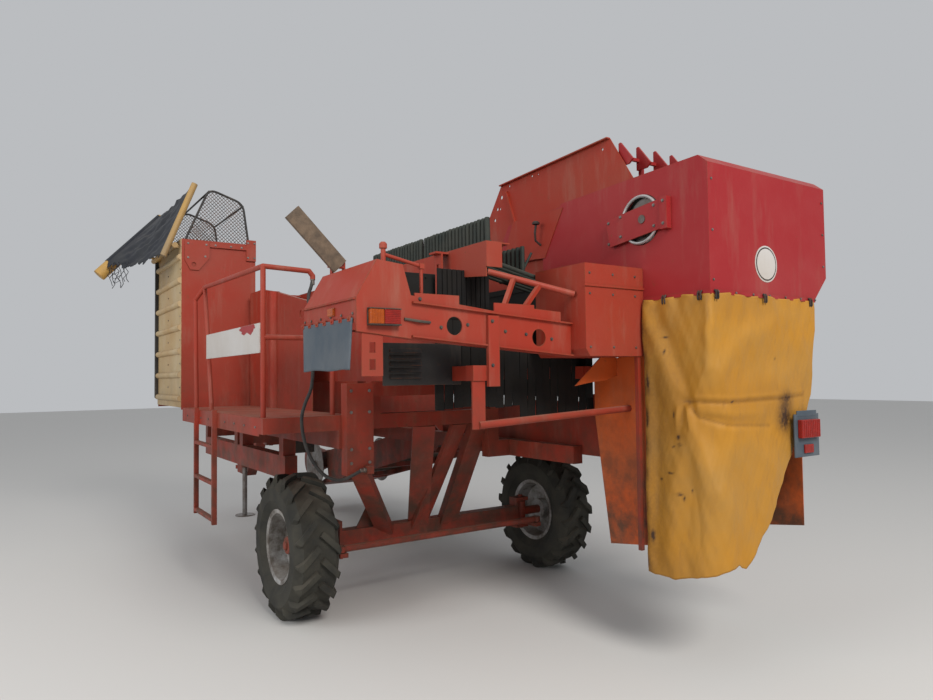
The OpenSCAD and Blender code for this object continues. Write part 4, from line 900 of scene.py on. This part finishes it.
def make_reflectors():
    low = Build()
    low.block((1060, -2462, 1172), (1150, -2452, 1222), 3)
    low.done("reflector_right", LENS, "chassis")
    orange = Build()
    orange.block((-1486, -1560, 1948), (-1480, -1480, 1990), 1)
    orange.block((-1491, -1554, 1952), (-1485, -1486, 1986), 2)
    orange.done("reflector_left", AMBER, "chassis")


def make_sign():
    ring = Build()
    ring.disc((SIGN_X, HOUSING_BACK - 1, SIGN_Z), BACK, [(97, 0), (97, 1.3)], 48)
    ring.done("speed_disc_ring", BLACK, "chassis")
    face = Build()
    face.disc((SIGN_X, HOUSING_BACK, SIGN_Z), BACK, [(106, 0), (106, 1.6)], 48)
    face.disc((SIGN_X, HOUSING_BACK - 2, SIGN_Z), BACK, [(89, 0), (89, 1)], 48)
    face.done("speed_disc_blank", WHITE, "chassis")


# Small parts of the beam and of the elevator's housing
# Ledges: X and Z of their two ends
LEDGES = [((-1186, 2004), (-150, 1932)), ((-1190, 1838), (-150, 1752))]
LEDGE_BACK, LEDGE_FRONT, LEDGE_HEIGHT = -1826, -1807, 8
SIDE_PLATE = [(-685, 2785), (-1241, 2780), (-1044, 2463), (-555, 2500)]
HANDLE = [(300, -1010, 2560), (262, -1000, 2590), (250, -1010, 2640), (250, -1022, 2700)]
HOOP_X, HOOP_Y, HOOP_Z, HOOP_RADIUS = 297, -1930, 2560, 139


def make_beam_ledges():
    ledges = Build()
    for ends in LEDGES:
        ledges.loft([[at(x, LEDGE_BACK, z), at(x, LEDGE_FRONT, z), at(x, LEDGE_FRONT, z + LEDGE_HEIGHT),
                      at(x, LEDGE_BACK, z + LEDGE_HEIGHT)] for x, z in ends])
    ledges.done("beam_ledges", RED, "chassis")


def make_housing_trims():
    plate = Build()
    plate.loft([[at(x, y, z) for y, z in SIDE_PLATE] for x in (305, 309.5)])
    plate.done("housing_side_plate", RED, "chassis")
    handle = Build()
    handle.tube(HANDLE, 8, 8)
    handle.disc((250, -1022, 2694), UP, [(10, 0), (26, 6), (27, 16), (18, 26), (0, 28)], 20)
    handle.done("crop_handle", BLACK, "chassis")


def make_beam_strips():
    strips = Build()
    for k in range(11):
        left = -790 + 33 * k
        strips.block((left, -1404, 2036 + 5 * (k % 3)), (left + 28, -1392, 2262), 2)
    strips.done("beam_strips", STRIP_RUBBER, "chassis")


def make_roller_hoop():
    hoop = Build()
    turns = [math.pi * k / 24 for k in range(48)]
    hoop.tube([(HOOP_X, HOOP_Y + HOOP_RADIUS * math.cos(turn), HOOP_Z + HOOP_RADIUS * math.sin(turn))
               for turn in turns], 9, 8, closed=True)
    hoop.done("roller_hoop", BRIGHT, "chassis")


# Bolts and small fasteners. The lists give two measures of each bolt's place on its face.
BEAM_BOLTS = [(-1140, 2026), (-860, 1908), (-1020, 1890), (-480, 1868), (-300, 1846), (-620, 1880)]
HOUSING_BOLTS = [(340, 2150), (340, 2420), (340, 2700), (1420, 2300), (1420, 2500), (1420, 2700)]
SIDE_BOLTS = [(-1690, 2580), (-1690, 2450), (-2050, 2620), (-2050, 2500), (-1790, 2600), (-1790, 2480)]
PLATE_BOLTS = [(-2125, 2630), (-2125, 2500)]
UNLOADER_LEFT_BOLTS = [(-1440, 2890), (-1280, 2890), (-1440, 2760), (-1290, 2780)]
UNLOADER_RIGHT_BOLTS = [(-900, 2800), (-900, 2940), (-840, 2800), (-840, 2940), (-1200, 2890),
                        (-1060, 2890), (-960, 2890)]


def make_beam_bolts():
    rusty = Build()
    rusty.bolts([(x, BEAM_BACK, z) for x, z in BEAM_BOLTS], BACK, 8)
    rusty.bolts([(-720, -1830, z) for z in (1930, 1700)], BACK, 8)
    rusty.tube([(-1230, -1812, 1925), (-1150, -1822, 1915), (-1085, -1812, 1912)], 7, 6)
    rusty.done("bolts_beam", IRON, "chassis")


def make_chassis_bolts():
    bolts = Build()
    bolts.bolts([(x, CLAMP_BACK, CLAMP_Z) for x in range(360, 1300, 156)], BACK, 6)
    bolts.bolts([(x, HOUSING_BACK, z) for x, z in HOUSING_BOLTS], BACK, 6)
    bolts.bolts([(280, y, z) for y, z in SIDE_BOLTS], LEFT, 8)
    bolts.bolts([(270, y, z) for y, z in PLATE_BOLTS], LEFT, 8)
    bolts.bolts([(-1500, y, 1340) for y in range(-330, 1790, 240)], LEFT, 7)
    bolts.bolts([(x, -570, z) for z in (1090, 1180, 1420, 1560) for x in (-950, -820)], BACK, 9)
    bolts.bolts([(-1480, y, 1945) for y in (-1770, -1640, -1510, -1380, -1250, -1160)], LEFT, 6)
    bolts.bolts([(x, -1930, z) for x in (-120, 60, 240) for z in (1800, 2100, 2215)], BACK, 6)
    bolts.bolts([(-860, 1890, z) for z in (1500, 1800, 2100, 2400, 2700)], BACK, 7)
    bolts.bolts([(1440, y, z) for y in (-1150, -900, -600, -350) for z in (1150, 1420)], RIGHT, 8)
    bolts.done("bolts_chassis", STEEL, "chassis")


def make_unloader_bolts():
    lugs = Build()
    lugs.bolts([(x, 1878, z) for x, z in UNLOADER_LEFT_BOLTS], BACK, 8)
    lugs.bolts([(x, 1872, z) for x, z in UNLOADER_RIGHT_BOLTS], BACK, 8)
    lugs.bolts([(-1500, y, z) for z in range(1580, 3000, 214) for y in (1910, 2440, 2970)], LEFT, 6)
    lugs.done("bolts_unloader", STEEL, "unloader")


# Wheels' nuts and hub caps
WHEEL_Z, HUB_FACE, NUTS, NUT_CIRCLE = 490, 1132, 6, 112
HUB_CAP = [(86, 0), (88, 3), (86, 8), (68, 12), (63, 20), (61, 48), (56, 54), (34, 56), (31, 66), (26, 70),
           (10, 71)]


def make_wheel_trims(side, body):
    outward = (side, 0, 0)
    turns = [math.pi / 3 * i + 0.3 for i in range(NUTS)]
    nuts = Build()
    nuts.bolts([(side * HUB_FACE, NUT_CIRCLE * math.cos(turn), WHEEL_Z + NUT_CIRCLE * math.sin(turn))
                for turn in turns], outward, 12)
    nuts.done("wheel_nuts_" + body, STEEL, body)
    cap = Build()
    cap.disc((side * HUB_FACE, 0, WHEEL_Z), outward, HUB_CAP, 36)
    cap.done("hub_cap_" + body, RED, body)


make_hose()
make_curtain()
make_curtain_clips()
make_tarp()
make_guards()
make_panel_edge()
make_strip_apron()
make_web_side_rubber()
make_hood_side_rubber()
make_panel_smear()
make_louvred_shade_cover()
make_flap()
make_fingers()
make_left_lamp()
make_right_lamp()
make_reflectors()
make_sign()
make_beam_ledges()
make_housing_trims()
make_beam_strips()
make_roller_hoop()
make_beam_bolts()
make_chassis_bolts()
make_unloader_bolts()
make_wheel_trims(-1, "left_wheel")
make_wheel_trims(1, "right_wheel")

# Floor and light
FLOOR_HALF = 40
FLOOR_TONE = (0.62, 0.61, 0.59)
SKY_TONE = (0.80, 0.82, 0.85, 1)
floor_mesh = bpy.data.meshes.new("floor")
floor_corners = [(x * FLOOR_HALF, y * FLOOR_HALF, 0) for x, y in ((-1, -1), (1, -1), (1, 1), (-1, 1))]
floor_mesh.from_pydata(floor_corners, [], [(0, 1, 2, 3)])
floor = bpy.data.objects.new("floor", floor_mesh)
scene.collection.objects.link(floor)
floor_mesh.materials.append(Tree("floor").finish(FLOOR_TONE, 0.9))

world = bpy.data.worlds.new("world")
scene.world = world
world.use_nodes = True
background = world.node_tree.nodes["Background"]
background.inputs["Color"].default_value = SKY_TONE
background.inputs["Strength"].default_value = 0.62


def soft_light(name, place, target, size, power, colour=(1, 1, 1)):
    """A round lamp that looks at a target."""
    data = bpy.data.lights.new(name, "AREA")
    data.shape = "DISK"
    data.size = size
    data.energy = power
    data.color = colour
    light = bpy.data.objects.new(name, data)
    light.location = place
    light.rotation_euler = (Vector(target) - Vector(place)).to_track_quat("-Z", "Y").to_euler()
    scene.collection.objects.link(light)


soft_light("key", (-1, -12, 9), (0, -1, 1.2), 5, 1150, (1, 0.97, 0.93))
soft_light("fill", (-9, -2, 5), (0.5, -2, 1.2), 6, 320)

scene.view_settings.view_transform = "Standard"
